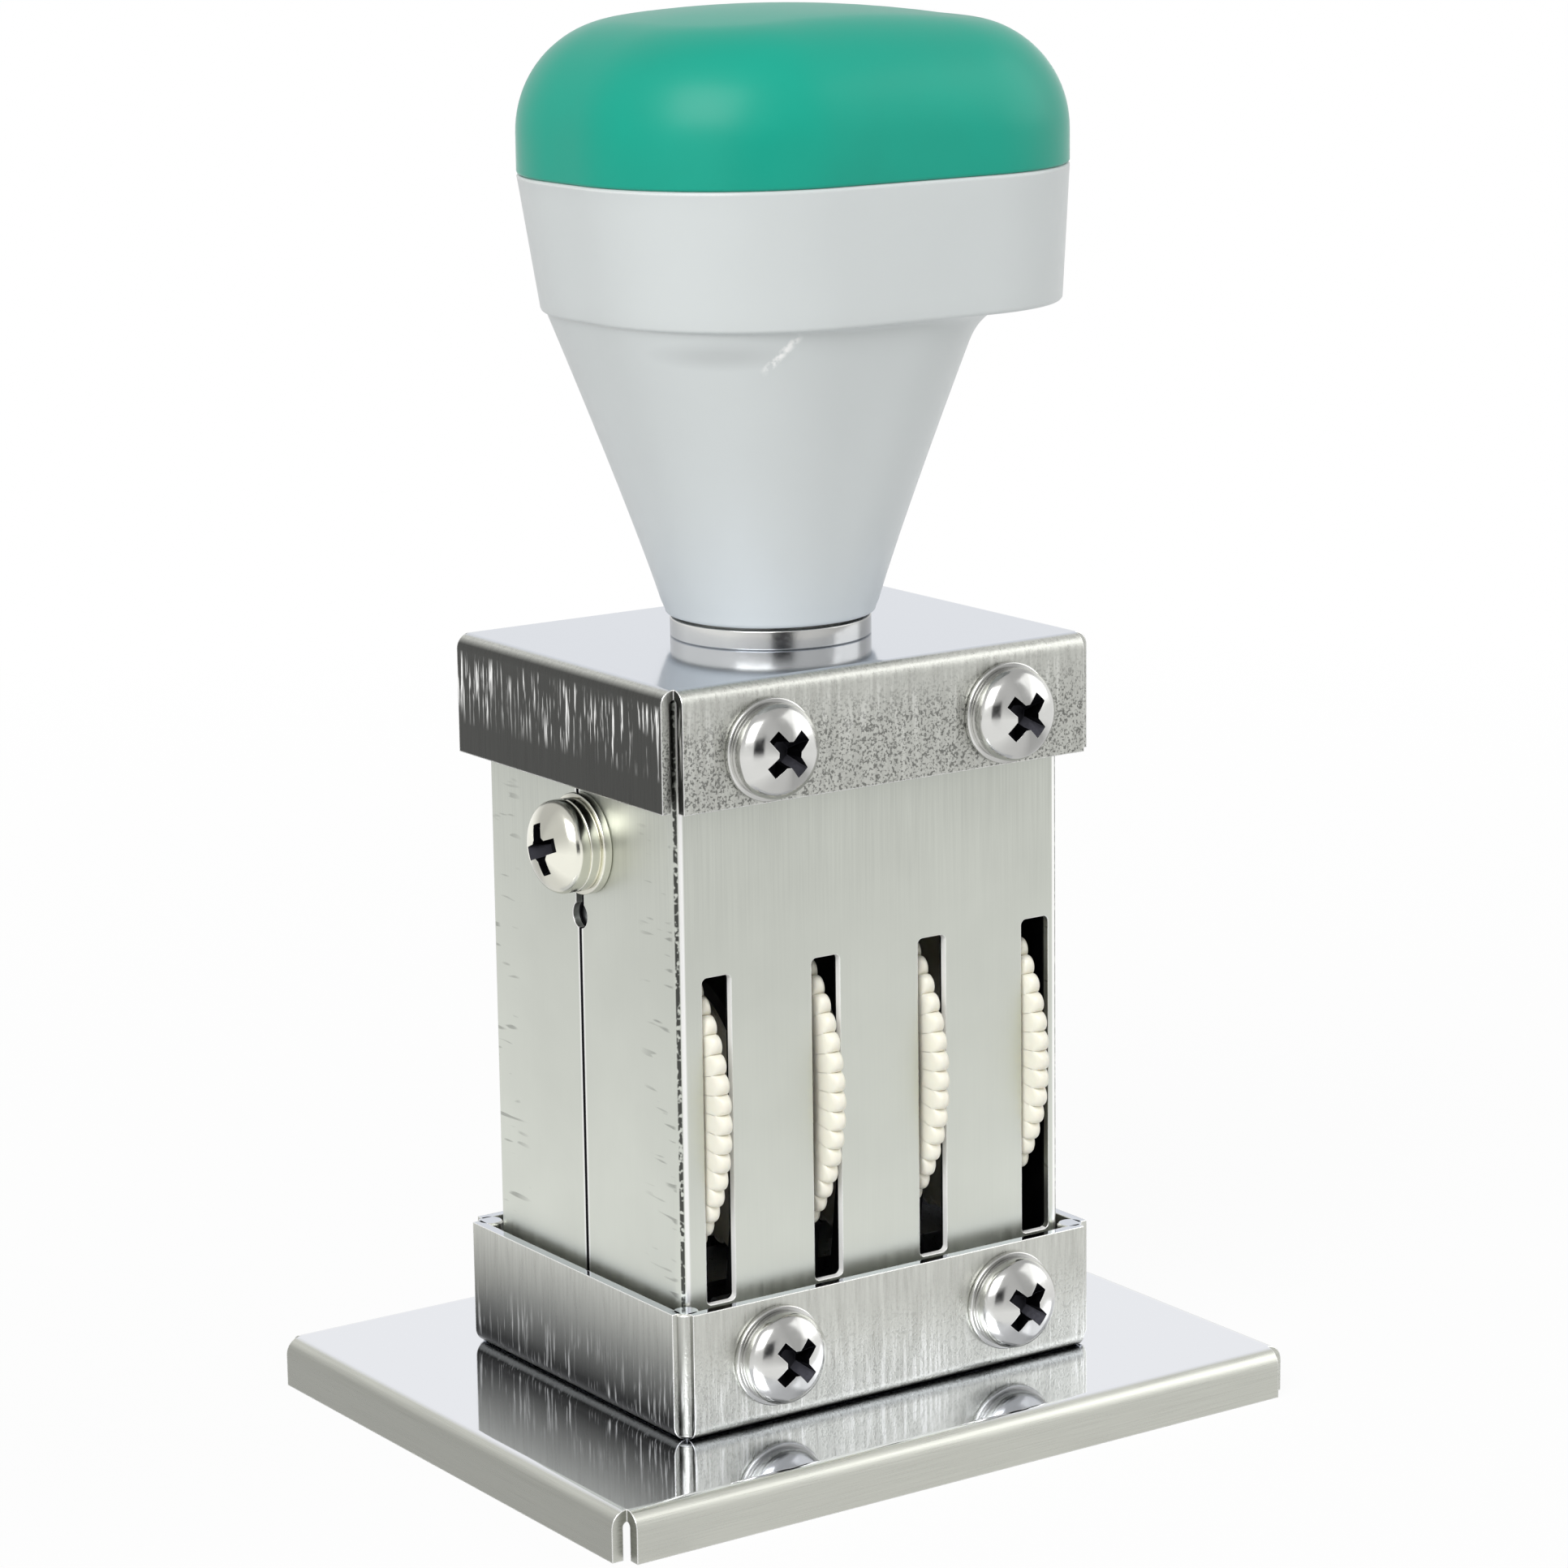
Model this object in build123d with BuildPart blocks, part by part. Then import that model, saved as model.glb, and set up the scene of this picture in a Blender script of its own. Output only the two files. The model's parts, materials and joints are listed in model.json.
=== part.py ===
from build123d import *
import os

os.makedirs("parts", exist_ok=True)

# Hand numbering machine: four number belts in a folded steel housing under a moulded handle.
# Millimetres. +Z is up, +X runs along the slotted front, +Y points to the back.
# The origin is on the handle's axis, on the surface that the base flanges stand on.
# The housing's width and depth are given. Its height follows from the stack that stands in it:
# guide, platen, discs, side nuts and cap.

# Driving dimensions: folded sheets
BASE_WIDTH = 66.8
BASE_DEPTH = 54.1
BASE_HEIGHT = 4.1
BASE_SHEET = 1.0
BASE_BEND = 1.4
SHEET = 0.8
BEND = 1.2
RIM_GAP = 1.65
RIM_SIDE_GAP = 1.0
TRAY_HEIGHT = 10.6
CAP_HEIGHT = 9.8
BODY_WIDTH = 38.0
BODY_DEPTH = 28.1
BODY_BEND = 1.0
SEAM_GAP = 0.2
CAP_SEAT_GAP = 0.1

# Driving dimensions: slots and the seam's keyhole
SLOT_COUNT = 4
SLOT_WIDTH = 2.8
SLOT_MARGIN = 1.805
SLOT_SHIFT = 0.55
SLOT_CORNER = 0.5
SLOT_BELOW_RIM = 0.4
SLOT_TOP_DROP = 4.5
KEYHOLE_DROP = 6.2
KEYHOLE_RADIUS = 1.1
KEYHOLE_SLIT = 1.2

# Driving dimensions: number wheels and their axle.
# Each disc stands a little to one side of its slot's middle, as loose wheels do.
DISC_SHIFTS = (-0.45, 0.05, -0.15, -0.45)
DISC_REACH = 2.25
DISC_THICKNESS = 1.3
PLATEN_DISC_GAP = 0.9
SIDE_NUT_GAP = 1.0
LOBE_COUNT = 56
LOBE_HEIGHT = 1.0
LOBE_WIDTH = 1.5
LOBE_TIP = 1.1
LOBE_CROWN = 0.25
AXLE_RADIUS = 2.0
AXLE_CLEARANCE = 0.05
HUB_RADIUS = 3.6
HUB_GAP = 0.3
DRUM_RADIUS = 7.0
DRUM_LIP = 0.1

# Driving dimensions: number belts, platen and belt guide
BELT_WIDTH = 3.0
BELT_THICKNESS = 1.2
BELT_CLEARANCE = 0.3
FIGURE_RELIEF = 0.9
FACE_LIFT = 0.1
PLATEN_DEPTH = 7.6
PLATEN_CORNER = 1.2
PLATEN_SLACK = 0.1
PLATEN_BAR_DEPTH = 8.0
PLATEN_BAR_HEIGHT = 3.3
GUIDE_HEIGHT = 4.1
GUIDE_WALL = 1.2
GUIDE_FIN = 1.0
GUIDE_CLEARANCE = 0.5
WINDOW_CLEARANCE = 0.5

# Driving dimensions: wheel frame
FRAME_SHEET = 1.0
FRAME_DEPTH = 12.0
FRAME_BEND = 1.6
FRAME_CLEARANCE = 0.1
FRAME_TOP_GAP = 0.7

# Driving dimensions: fasteners
SCREW_RADIUS = 2.0
SCREW_CLEARANCE = 0.2
HEAD_RADIUS = 4.0
HEAD_HEIGHT = 2.6
HEAD_EDGE = 0.7
RECESS_SPAN = 4.6
RECESS_WIDTH = 1.0
RECESS_HEART = 1.9
RECESS_DEPTH = 1.5
WASHER_RADIUS = 4.5
WASHER_THICKNESS = 0.5
RING_RADIUS = 3.8
NUT_ACROSS = 7.0
NUT_HEIGHT = 3.0
SCREW_SPREAD = 23.2
CAP_SCREW_DROP = 5.5
TRAY_SCREW_RISE = 5.8
SIDE_SCREW_SHIFT = -1.0
CAP_WASHER_GAP = 0.5
COUNTERSINK_ANGLE = 45.0
SIDE_WASHER_THICKNESS = 0.8
SPRING_RADIUS = 3.8
SPRING_THICKNESS = 1.0
SPRING_GAP = 0.5
PLATEN_SCREW_RADIUS = 1.25
PLATEN_SCREW_HEAD = 2.3
PLATEN_SCREW_LENGTH = 5.0
RIVET_RADIUS = 1.5
RIVET_HEAD_RADIUS = 2.6
RIVET_HEAD_HEIGHT = 0.6
RIVET_HEAD_ANGLE = 25.0
RIVET_INSET = 3.2
HOLE_CLEARANCE = 0.1

# Driving dimensions: handle
COLLAR_RADIUS = 9.0
COLLAR_HEIGHT = 1.9
COLLAR_CHAMFER = 0.4
COLLAR_STEP_RADIUS = 8.0
COLLAR_STEP = 0.25
STUD_RADIUS = 4.0
STUD_CLEARANCE = 0.05
STUD_REACH = 22.0
STUD_END = 1.5
STUD_NUT_ACROSS = 13.0
STUD_NUT_HEIGHT = 5.0
STUD_WASHER_RADIUS = 7.4
STUD_WASHER_THICKNESS = 1.2
FUNNEL_HEIGHT = 24.6
FUNNEL_WIDTH = 33.6
FUNNEL_LIP = 0.3
NECK_WIDTH = 17.1
NECK_CORNER = 8.3
NECK_ROUND = 0.6
BAND_HEIGHT = 11.1
BAND_WIDTH = 41.8
BAND_DEPTH = 33.1
BAND_CORNER = 13.9
BAND_ROUND = 0.25
HEAD_WIDTH = 44.3
HEAD_DEPTH = 34.2
HEAD_CORNER = 14.4
HEAD_OVERHANG = 25.1
BAND_OVERHANG = 24.5
HANDLE_WALL = 2.4
CAVITY_FLOOR = 2.5
DOME_HEIGHT = 13.0
DOME_EDGE = 9.0
DOME_CROWN_RADIUS = 95.0
DOME_CROWN_SHIFT = -2.0
DOME_WALL = 2.6
SPIGOT_DEPTH = 2.5
SPIGOT_CLEARANCE = 0.15
SPIGOT_WALL = 1.6

# The funnel's flare: how much of its widening it has at each share of its height
FUNNEL_FLARE = ((0.0, 0.0), (0.33, 0.32), (0.66, 0.67), (1.0, 1.0))

# Widths and depths that follow from the dimensions above
rim_width = BODY_WIDTH + 2 * (RIM_SIDE_GAP + SHEET)
rim_depth = BODY_DEPTH + 2 * (RIM_GAP + SHEET)
body_inner_x = BODY_WIDTH / 2 - SHEET
body_inner_y = BODY_DEPTH / 2 - SHEET
frame_outer_x = body_inner_x - FRAME_CLEARANCE
frame_inner_x = frame_outer_x - FRAME_SHEET
wheel_radius = BODY_DEPTH / 2 + DISC_REACH
slot_pitch = (BODY_WIDTH - 2 * SLOT_MARGIN - SLOT_WIDTH) / (SLOT_COUNT - 1)
belt_pitch = slot_pitch / 2
belt_spread = (SLOT_COUNT - 1) * belt_pitch + BELT_WIDTH
belt_inner_radius = DRUM_RADIUS + BELT_CLEARANCE
rivet_spread_x = 2 * (body_inner_x - RIVET_INSET)
rivet_spread_y = FRAME_DEPTH / 2 + body_inner_y

# Levels, from the base up
platen_bottom_z = FACE_LIFT + FIGURE_RELIEF + BELT_THICKNESS
tray_floor_z = BASE_HEIGHT + SHEET
tray_rim_z = BASE_HEIGHT + TRAY_HEIGHT
guide_top_z = tray_floor_z + GUIDE_HEIGHT
bar_top_z = guide_top_z + PLATEN_BAR_HEIGHT
axle_z = bar_top_z + PLATEN_DISC_GAP + wheel_radius
slot_bottom_z = tray_rim_z - SLOT_BELOW_RIM
slot_top_z = axle_z + wheel_radius - SLOT_TOP_DROP
side_screw_z = axle_z + wheel_radius + SIDE_NUT_GAP + NUT_ACROSS / 2
cap_top_z = side_screw_z + WASHER_RADIUS + CAP_WASHER_GAP + CAP_HEIGHT
cap_under_z = cap_top_z - SHEET
body_top_z = cap_under_z - CAP_SEAT_GAP
collar_top_z = cap_top_z + COLLAR_HEIGHT
neck_z = collar_top_z + COLLAR_STEP
band_z = neck_z + FUNNEL_HEIGHT
parting_z = band_z + BAND_HEIGHT
stud_washer_z = cap_under_z - STUD_WASHER_THICKNESS
stud_foot_z = stud_washer_z - STUD_NUT_HEIGHT - STUD_END
frame_top_z = stud_foot_z - FRAME_TOP_GAP


def same(a, b):
    """Whether two coordinates are one place."""
    return abs(a - b) < 1e-6


def spaced(count, pitch, shift):
    """Positions of a row of equal steps about a shifted centre."""
    return [shift + (i - (count - 1) / 2) * pitch for i in range(count)]


slot_xs = spaced(SLOT_COUNT, slot_pitch, SLOT_SHIFT)
belt_xs = spaced(SLOT_COUNT, belt_pitch, SLOT_SHIFT)
disc_xs = [x + shift for x, shift in zip(slot_xs, DISC_SHIFTS)]


def folded_strip(plane, width, length, height, sheet, bend, upward):
    """A sheet folded to a channel: its web lies on the plane's X, its two flanges run up or down."""
    lean = Align.MIN if upward else Align.MAX
    nearest = 0 if upward else -1
    inner = sheet if upward else -sheet
    with BuildSketch(plane) as section:
        Rectangle(width, height, align=(Align.CENTER, lean))
        fillet(section.vertices().group_by(Axis.Y)[nearest], bend)
        with Locations((0, inner)):
            Rectangle(width - 2 * sheet, height, align=(Align.CENTER, lean), mode=Mode.SUBTRACT)
        level = section.vertices().filter_by(lambda v: same(v.Y, inner))
        fillet(level.filter_by(lambda v: same(abs(v.X), width / 2 - sheet)), bend - sheet)
    extrude(section.sketch, amount=length / 2, both=True)


def folded_pan(face_z, width, depth, height, sheet, bend, upward):
    """A rectangular sheet with four flanges folded up or down and open corners."""
    front = Plane(origin=(0, 0, face_z), x_dir=(1, 0, 0), z_dir=(0, -1, 0))
    side = Plane(origin=(0, 0, face_z), x_dir=(0, 1, 0), z_dir=(1, 0, 0))
    folded_strip(front, width, depth - 2 * bend, height, sheet, bend, upward)
    folded_strip(side, depth, width - 2 * bend, height, sheet, bend, upward)


def seats(spread, z, depth):
    """Screw seats on the front and back faces: planes that look outwards."""
    planes = []
    for side in (-1, 1):
        for x in (-spread / 2, spread / 2):
            planes.append(Plane(origin=(x, side * depth / 2, z), x_dir=(-side, 0, 0), z_dir=(0, side, 0)))
    return planes


def side_seats(half, z):
    """Screw seats on the left and right walls."""
    left = Plane(origin=(-half, SIDE_SCREW_SHIFT, z), x_dir=(0, -1, 0), z_dir=(-1, 0, 0))
    right = Plane(origin=(half, SIDE_SCREW_SHIFT, z), x_dir=(0, 1, 0), z_dir=(1, 0, 0))
    return [left, right]


def raised(planes, height):
    """The same seats, moved outwards along their own normals."""
    return [plane.offset(height) for plane in planes]


def round_holes(planes, radius):
    """Round holes through the sheet under each seat."""
    for plane in planes:
        with BuildSketch(plane) as hole:
            Circle(radius)
        extrude(hole.sketch, amount=2 * SHEET, both=True, mode=Mode.SUBTRACT)


def rings(planes, outer, inner, thickness):
    """Washers standing on the seats."""
    for plane in planes:
        with BuildSketch(plane) as ring:
            Circle(outer)
            Circle(inner, mode=Mode.SUBTRACT)
        extrude(ring.sketch, amount=thickness)


def hex_nuts(planes, across, bore, height):
    """Hexagon nuts whose faces lie on the seats and whose bodies go inwards."""
    for plane in planes:
        with BuildSketch(plane) as hexagon:
            RegularPolygon(across / 2, 6, major_radius=False)
            Circle(bore, mode=Mode.SUBTRACT)
        extrude(hexagon.sketch, amount=-height)


def pan_screws(planes, length):
    """Pan-head screws with a cross recess: the head stands on the seat, the shank goes inwards."""
    for plane in planes:
        with BuildSketch(Plane(origin=plane.origin, x_dir=plane.x_dir, z_dir=-plane.y_dir)) as turned:
            with BuildLine():
                rim = Line((HEAD_RADIUS, 0), (HEAD_RADIUS, HEAD_EDGE))
                EllipticalCenterArc((0, HEAD_EDGE), HEAD_RADIUS, HEAD_HEIGHT - HEAD_EDGE, arc_size=90)
                shank = ((0, -length), (SCREW_RADIUS, -length), (SCREW_RADIUS, 0))
                Polyline((0, HEAD_HEIGHT), *shank, rim @ 0)
            make_face()
        revolve(turned.sketch, axis=Axis(plane.origin, plane.z_dir))
        with BuildSketch(plane.offset(HEAD_HEIGHT)) as recess:
            Rectangle(RECESS_SPAN, RECESS_WIDTH)
            Rectangle(RECESS_WIDTH, RECESS_SPAN)
            Rectangle(RECESS_HEART, RECESS_HEART, rotation=45)
        extrude(recess.sketch, amount=-RECESS_DEPTH, mode=Mode.SUBTRACT)


def save(piece, name):
    """Label a finished piece and write it out under its node's name."""
    piece.part.label = name
    export_step(piece.part, f"parts/{name}.step")


# Seats of the screws: on the rims' outer faces, and on the body's side walls
cap_seats = seats(SCREW_SPREAD, cap_top_z - CAP_SCREW_DROP, rim_depth)
tray_seats = seats(SCREW_SPREAD, BASE_HEIGHT + TRAY_SCREW_RISE, rim_depth)
wall_seats = side_seats(BODY_WIDTH / 2, side_screw_z)


def figures_half_depth(z):
    """How far the raised figures reach to front and back at a level between platen and drums."""
    foot = PLATEN_DEPTH / 2 + PLATEN_SLACK
    share = (z - platen_bottom_z) / (axle_z - platen_bottom_z)
    return foot + share * (belt_inner_radius - foot) + BELT_THICKNESS + FIGURE_RELIEF


# The window under the belts, cut in the tray and the base, and the guide that stands round it
window_width = belt_spread + 2 * WINDOW_CLEARANCE
window_depth = 2 * (figures_half_depth(tray_floor_z) + WINDOW_CLEARANCE)
guide_inner_width = belt_spread + 2 * GUIDE_CLEARANCE
guide_inner_depth = 2 * (figures_half_depth(guide_top_z) + GUIDE_CLEARANCE)


def floor_openings(window_z, thickness):
    """The belts' window and the four rivet holes, through a level sheet."""
    with BuildSketch(Plane.XY.offset(window_z)) as openings:
        with Locations((SLOT_SHIFT, 0)):
            Rectangle(window_width, window_depth)
        with GridLocations(rivet_spread_x, rivet_spread_y, 2, 2):
            Circle(RIVET_RADIUS + HOLE_CLEARANCE)
    extrude(openings.sketch, amount=thickness, mode=Mode.SUBTRACT)


# Base plate: polished sheet with short flanges folded down, open at the corners
with BuildPart() as base_plate:
    folded_pan(BASE_HEIGHT, BASE_WIDTH, BASE_DEPTH, BASE_HEIGHT, BASE_SHEET, BASE_BEND, False)
    floor_openings(BASE_HEIGHT - BASE_SHEET, BASE_SHEET)
save(base_plate, "base_plate")

# Tray: sheet with its flanges folded up around the foot of the housing
with BuildPart() as tray:
    folded_pan(BASE_HEIGHT, rim_width, rim_depth, TRAY_HEIGHT, SHEET, BEND, True)
    floor_openings(BASE_HEIGHT, SHEET)
    round_holes(tray_seats, SCREW_RADIUS + SCREW_CLEARANCE)
save(tray, "tray")

# Rivets that join the tray's floor to the base plate
with BuildPart() as base_rivets:
    with BuildSketch(Plane.XY.offset(BASE_HEIGHT - BASE_SHEET)):
        with GridLocations(rivet_spread_x, rivet_spread_y, 2, 2):
            Circle(RIVET_RADIUS)
    extrude(amount=BASE_SHEET + SHEET)
    for z, height in ((tray_floor_z, RIVET_HEAD_HEIGHT), (BASE_HEIGHT - BASE_SHEET, -RIVET_HEAD_HEIGHT)):
        with BuildSketch(Plane.XY.offset(z)):
            with GridLocations(rivet_spread_x, rivet_spread_y, 2, 2):
                Circle(RIVET_HEAD_RADIUS)
        extrude(amount=height, taper=RIVET_HEAD_ANGLE)
save(base_rivets, "base_rivets")


def shell(side):
    """Half of the housing: a slotted panel and two half walls, front for -1 and back for +1."""
    panel_y = side * BODY_DEPTH / 2
    edge_y = side * SEAM_GAP / 2
    with BuildSketch(Plane.XY.offset(tray_floor_z)) as section:
        with Locations((0, (panel_y + edge_y) / 2)):
            Rectangle(BODY_WIDTH, abs(panel_y - edge_y))
        fillet(section.vertices().filter_by(lambda v: same(v.Y, panel_y)), BODY_BEND)
        inner_y = panel_y - side * SHEET
        with Locations((0, inner_y / 2)):
            Rectangle(BODY_WIDTH - 2 * SHEET, abs(inner_y), mode=Mode.SUBTRACT)
        level = section.vertices().filter_by(lambda v: same(v.Y, inner_y))
        fillet(level.filter_by(lambda v: same(abs(v.X), body_inner_x)), BODY_BEND - SHEET)
    extrude(section.sketch, amount=body_top_z - tray_floor_z)
    slot_height = slot_top_z - slot_bottom_z
    with BuildSketch(Plane(origin=(0, panel_y, slot_bottom_z), x_dir=(1, 0, 0), z_dir=(0, -1, 0))) as slots:
        for x in slot_xs:
            with Locations((x, slot_height / 2)):
                RectangleRounded(SLOT_WIDTH, slot_height, SLOT_CORNER)
    extrude(slots.sketch, amount=2 * SHEET, both=True, mode=Mode.SUBTRACT)
    round_holes(raised(cap_seats + tray_seats, -RIM_GAP - SHEET), SCREW_RADIUS + SCREW_CLEARANCE)
    keyhole_z = side_screw_z - KEYHOLE_DROP
    with BuildSketch(Plane.YZ) as keyhole:
        with Locations((SIDE_SCREW_SHIFT, side_screw_z)):
            Circle(SCREW_RADIUS + SCREW_CLEARANCE)
        with Locations((0, keyhole_z)):
            Circle(KEYHOLE_RADIUS)
        with Locations((0, (keyhole_z + side_screw_z) / 2)):
            Rectangle(KEYHOLE_SLIT, side_screw_z - keyhole_z)
    extrude(keyhole.sketch, amount=BODY_WIDTH, both=True, mode=Mode.SUBTRACT)


with BuildPart() as front_shell:
    shell(-1)
save(front_shell, "front_shell")

with BuildPart() as rear_shell:
    shell(1)
save(rear_shell, "rear_shell")

# Cap: sheet with its flanges folded down over the top of the housing
with BuildPart() as top_cap:
    folded_pan(cap_top_z, rim_width, rim_depth, CAP_HEIGHT, SHEET, BEND, False)
    with BuildSketch(Plane.XY.offset(cap_under_z)):
        Circle(STUD_RADIUS + SCREW_CLEARANCE)
    extrude(amount=SHEET, mode=Mode.SUBTRACT)
    round_holes(cap_seats, SCREW_RADIUS + SCREW_CLEARANCE)
save(top_cap, "top_cap")

# Screws, washers, distance rings and nuts of the cap and of the tray
for rim, rim_seats in (("cap", cap_seats), ("tray", tray_seats)):
    with BuildPart() as washers:
        rings(rim_seats, WASHER_RADIUS, SCREW_RADIUS + SCREW_CLEARANCE, WASHER_THICKNESS)
    save(washers, f"{rim}_washers")

    with BuildPart() as screws:
        pan_screws(raised(rim_seats, WASHER_THICKNESS), WASHER_THICKNESS + 2 * SHEET + RIM_GAP + NUT_HEIGHT)
    save(screws, f"{rim}_screws")

    with BuildPart() as distance_rings:
        rings(raised(rim_seats, -SHEET - RIM_GAP), RING_RADIUS, SCREW_RADIUS + SCREW_CLEARANCE, RIM_GAP)
    save(distance_rings, f"{rim}_distance_rings")

    with BuildPart() as nuts:
        hex_nuts(raised(rim_seats, -2 * SHEET - RIM_GAP), NUT_ACROSS, SCREW_RADIUS, NUT_HEIGHT)
    save(nuts, f"{rim}_nuts")

# Side screws: flat washer, split spring washer and screw outside, nut inside the wheel frame
with BuildPart() as side_washers:
    rings(wall_seats, WASHER_RADIUS, SCREW_RADIUS + SCREW_CLEARANCE, SIDE_WASHER_THICKNESS)
save(side_washers, "side_washers")

with BuildPart() as side_spring_washers:
    for seat in raised(wall_seats, SIDE_WASHER_THICKNESS):
        with BuildSketch(seat):
            Circle(SPRING_RADIUS)
            Circle(SCREW_RADIUS + SCREW_CLEARANCE, mode=Mode.SUBTRACT)
            with Locations((SPRING_RADIUS / 2, 0)):
                Rectangle(SPRING_RADIUS, SPRING_GAP, mode=Mode.SUBTRACT)
        extrude(amount=SPRING_THICKNESS)
save(side_spring_washers, "side_spring_washers")

side_stack = SIDE_WASHER_THICKNESS + SPRING_THICKNESS
side_grip = SHEET + FRAME_CLEARANCE + FRAME_SHEET
with BuildPart() as side_screws:
    pan_screws(raised(wall_seats, side_stack), side_stack + side_grip + NUT_HEIGHT)
save(side_screws, "side_screws")

with BuildPart() as side_nuts:
    hex_nuts(raised(wall_seats, -side_grip), NUT_ACROSS, SCREW_RADIUS, NUT_HEIGHT)
save(side_nuts, "side_nuts")

# Wheel frame: a channel, open below, that carries the axle and the platen between its cheeks
cheek_seats = [
    Plane(origin=(-frame_outer_x, 0, 0), x_dir=(0, -1, 0), z_dir=(-1, 0, 0)),
    Plane(origin=(frame_outer_x, 0, 0), x_dir=(0, 1, 0), z_dir=(1, 0, 0)),
]
platen_screw_z = (guide_top_z + bar_top_z) / 2
with BuildPart() as wheel_frame:
    top = Plane(origin=(0, 0, frame_top_z), x_dir=(1, 0, 0), z_dir=(0, -1, 0))
    frame_height = frame_top_z - tray_floor_z
    folded_strip(top, 2 * frame_outer_x, FRAME_DEPTH, frame_height, FRAME_SHEET, FRAME_BEND, False)
    for seat in cheek_seats:
        with BuildSketch(seat):
            with Locations((0, axle_z)):
                Circle(AXLE_RADIUS + AXLE_CLEARANCE)
            with Locations((0, platen_screw_z)):
                Circle(PLATEN_SCREW_RADIUS + AXLE_CLEARANCE)
        extrude(amount=-FRAME_SHEET, mode=Mode.SUBTRACT)
        with BuildSketch(seat):
            with Locations((0, platen_screw_z)):
                Circle(PLATEN_SCREW_HEAD + AXLE_CLEARANCE)
        extrude(amount=-FRAME_SHEET, taper=COUNTERSINK_ANGLE, mode=Mode.SUBTRACT)
    round_holes(raised(wall_seats, -SHEET - FRAME_CLEARANCE), SCREW_RADIUS + SCREW_CLEARANCE)
save(wheel_frame, "wheel_frame")

# Axle: a plain rod from cheek to cheek, kept in by the housing's walls
with BuildPart() as wheel_axle:
    with BuildSketch(Plane.YZ.offset(-frame_outer_x)):
        with Locations((0, axle_z)):
            Circle(AXLE_RADIUS)
    extrude(amount=2 * frame_outer_x)
save(wheel_axle, "wheel_axle")


def wheel_plane(x):
    """A plane across the axle, centred on it, with its normal towards +X."""
    return Plane(origin=(x, 0, axle_z), x_dir=(0, 1, 0), z_dir=(1, 0, 0))


def step(x0, x1, radius, mode=Mode.ADD):
    """A round step between two places along the axle."""
    with BuildSketch(wheel_plane(x0)) as disc:
        Circle(radius)
    extrude(disc.sketch, amount=x1 - x0, mode=mode)


def lobed_disc(x, thickness):
    """A thumb disc: a round blank with crowned lobes all round its rim."""
    root = wheel_radius - LOBE_HEIGHT
    shoulder = wheel_radius - LOBE_CROWN
    foot = root - LOBE_CROWN
    with BuildSketch() as lobe:
        with BuildLine():
            crown = ThreePointArc((shoulder, -LOBE_TIP / 2), (wheel_radius, 0), (shoulder, LOBE_TIP / 2))
            Polyline(crown @ 1, (foot, LOBE_WIDTH / 2), (foot, -LOBE_WIDTH / 2), crown @ 0)
        make_face()
    with BuildSketch(wheel_plane(x)) as blank:
        Circle(root)
        with PolarLocations(0, LOBE_COUNT):
            add(lobe.sketch)
    extrude(blank.sketch, amount=thickness)


# Number wheels: lobed disc, hub and belt drum moulded in one, turning on the axle.
# The drums crowd towards the middle, so that the four belts print side by side.
for i, (disc_x, belt_x) in enumerate(zip(disc_xs, belt_xs)):
    inward = 1 if belt_x > disc_x else -1
    drum_half = inward * (BELT_WIDTH / 2 + DRUM_LIP)
    is_inner = abs(belt_x - SLOT_SHIFT) < belt_pitch
    hub_end = SLOT_SHIFT - inward * HUB_GAP / 2 if is_inner else belt_x + drum_half
    with BuildPart() as number_wheel:
        lobed_disc(disc_x - DISC_THICKNESS / 2, DISC_THICKNESS)
        step(disc_x, hub_end, HUB_RADIUS)
        step(belt_x - drum_half, belt_x + drum_half, DRUM_RADIUS)
        step(-BODY_WIDTH, BODY_WIDTH, AXLE_RADIUS + AXLE_CLEARANCE, Mode.SUBTRACT)
    save(number_wheel, f"number_wheel_{i + 1}")

# Number belts: endless rubber loops over the drums and round the platen's nose
with BuildSketch() as loop_inside:
    with Locations((0, axle_z)):
        Circle(belt_inner_radius)
    with Locations((0, platen_bottom_z)):
        RectangleRounded(
            PLATEN_DEPTH + 2 * PLATEN_SLACK,
            bar_top_z - platen_bottom_z,
            PLATEN_CORNER,
            align=(Align.CENTER, Align.MIN),
        )
    make_hull()

with BuildSketch() as loop_section:
    add(loop_inside.sketch)
    offset(amount=BELT_THICKNESS)
    add(loop_inside.sketch, mode=Mode.SUBTRACT)

for i, belt_x in enumerate(belt_xs):
    with BuildPart() as number_belt:
        with BuildSketch(Plane.YZ.offset(belt_x - BELT_WIDTH / 2)):
            add(loop_section.sketch)
        extrude(amount=BELT_WIDTH)
    save(number_belt, f"number_belt_{i + 1}")

# Platen: a bar between the cheeks, with a rounded nose that the belts run round
with BuildPart() as platen:
    with BuildSketch(Plane.YZ.offset(-frame_inner_x)):
        with Locations((0, guide_top_z)):
            Rectangle(PLATEN_BAR_DEPTH, PLATEN_BAR_HEIGHT, align=(Align.CENTER, Align.MIN))
    extrude(amount=2 * frame_inner_x)
    with BuildSketch(Plane.YZ.offset(SLOT_SHIFT - belt_spread / 2)) as nose:
        with Locations((0, platen_bottom_z)):
            Rectangle(PLATEN_DEPTH, bar_top_z - platen_bottom_z, align=(Align.CENTER, Align.MIN))
        fillet(nose.vertices().group_by(Axis.Y)[0], PLATEN_CORNER)
    extrude(amount=belt_spread)
    for seat in raised(cheek_seats, -FRAME_SHEET):
        with BuildSketch(seat):
            with Locations((0, platen_screw_z)):
                Circle(PLATEN_SCREW_RADIUS)
        extrude(amount=FRAME_SHEET - PLATEN_SCREW_LENGTH, mode=Mode.SUBTRACT)
save(platen, "platen")

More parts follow.
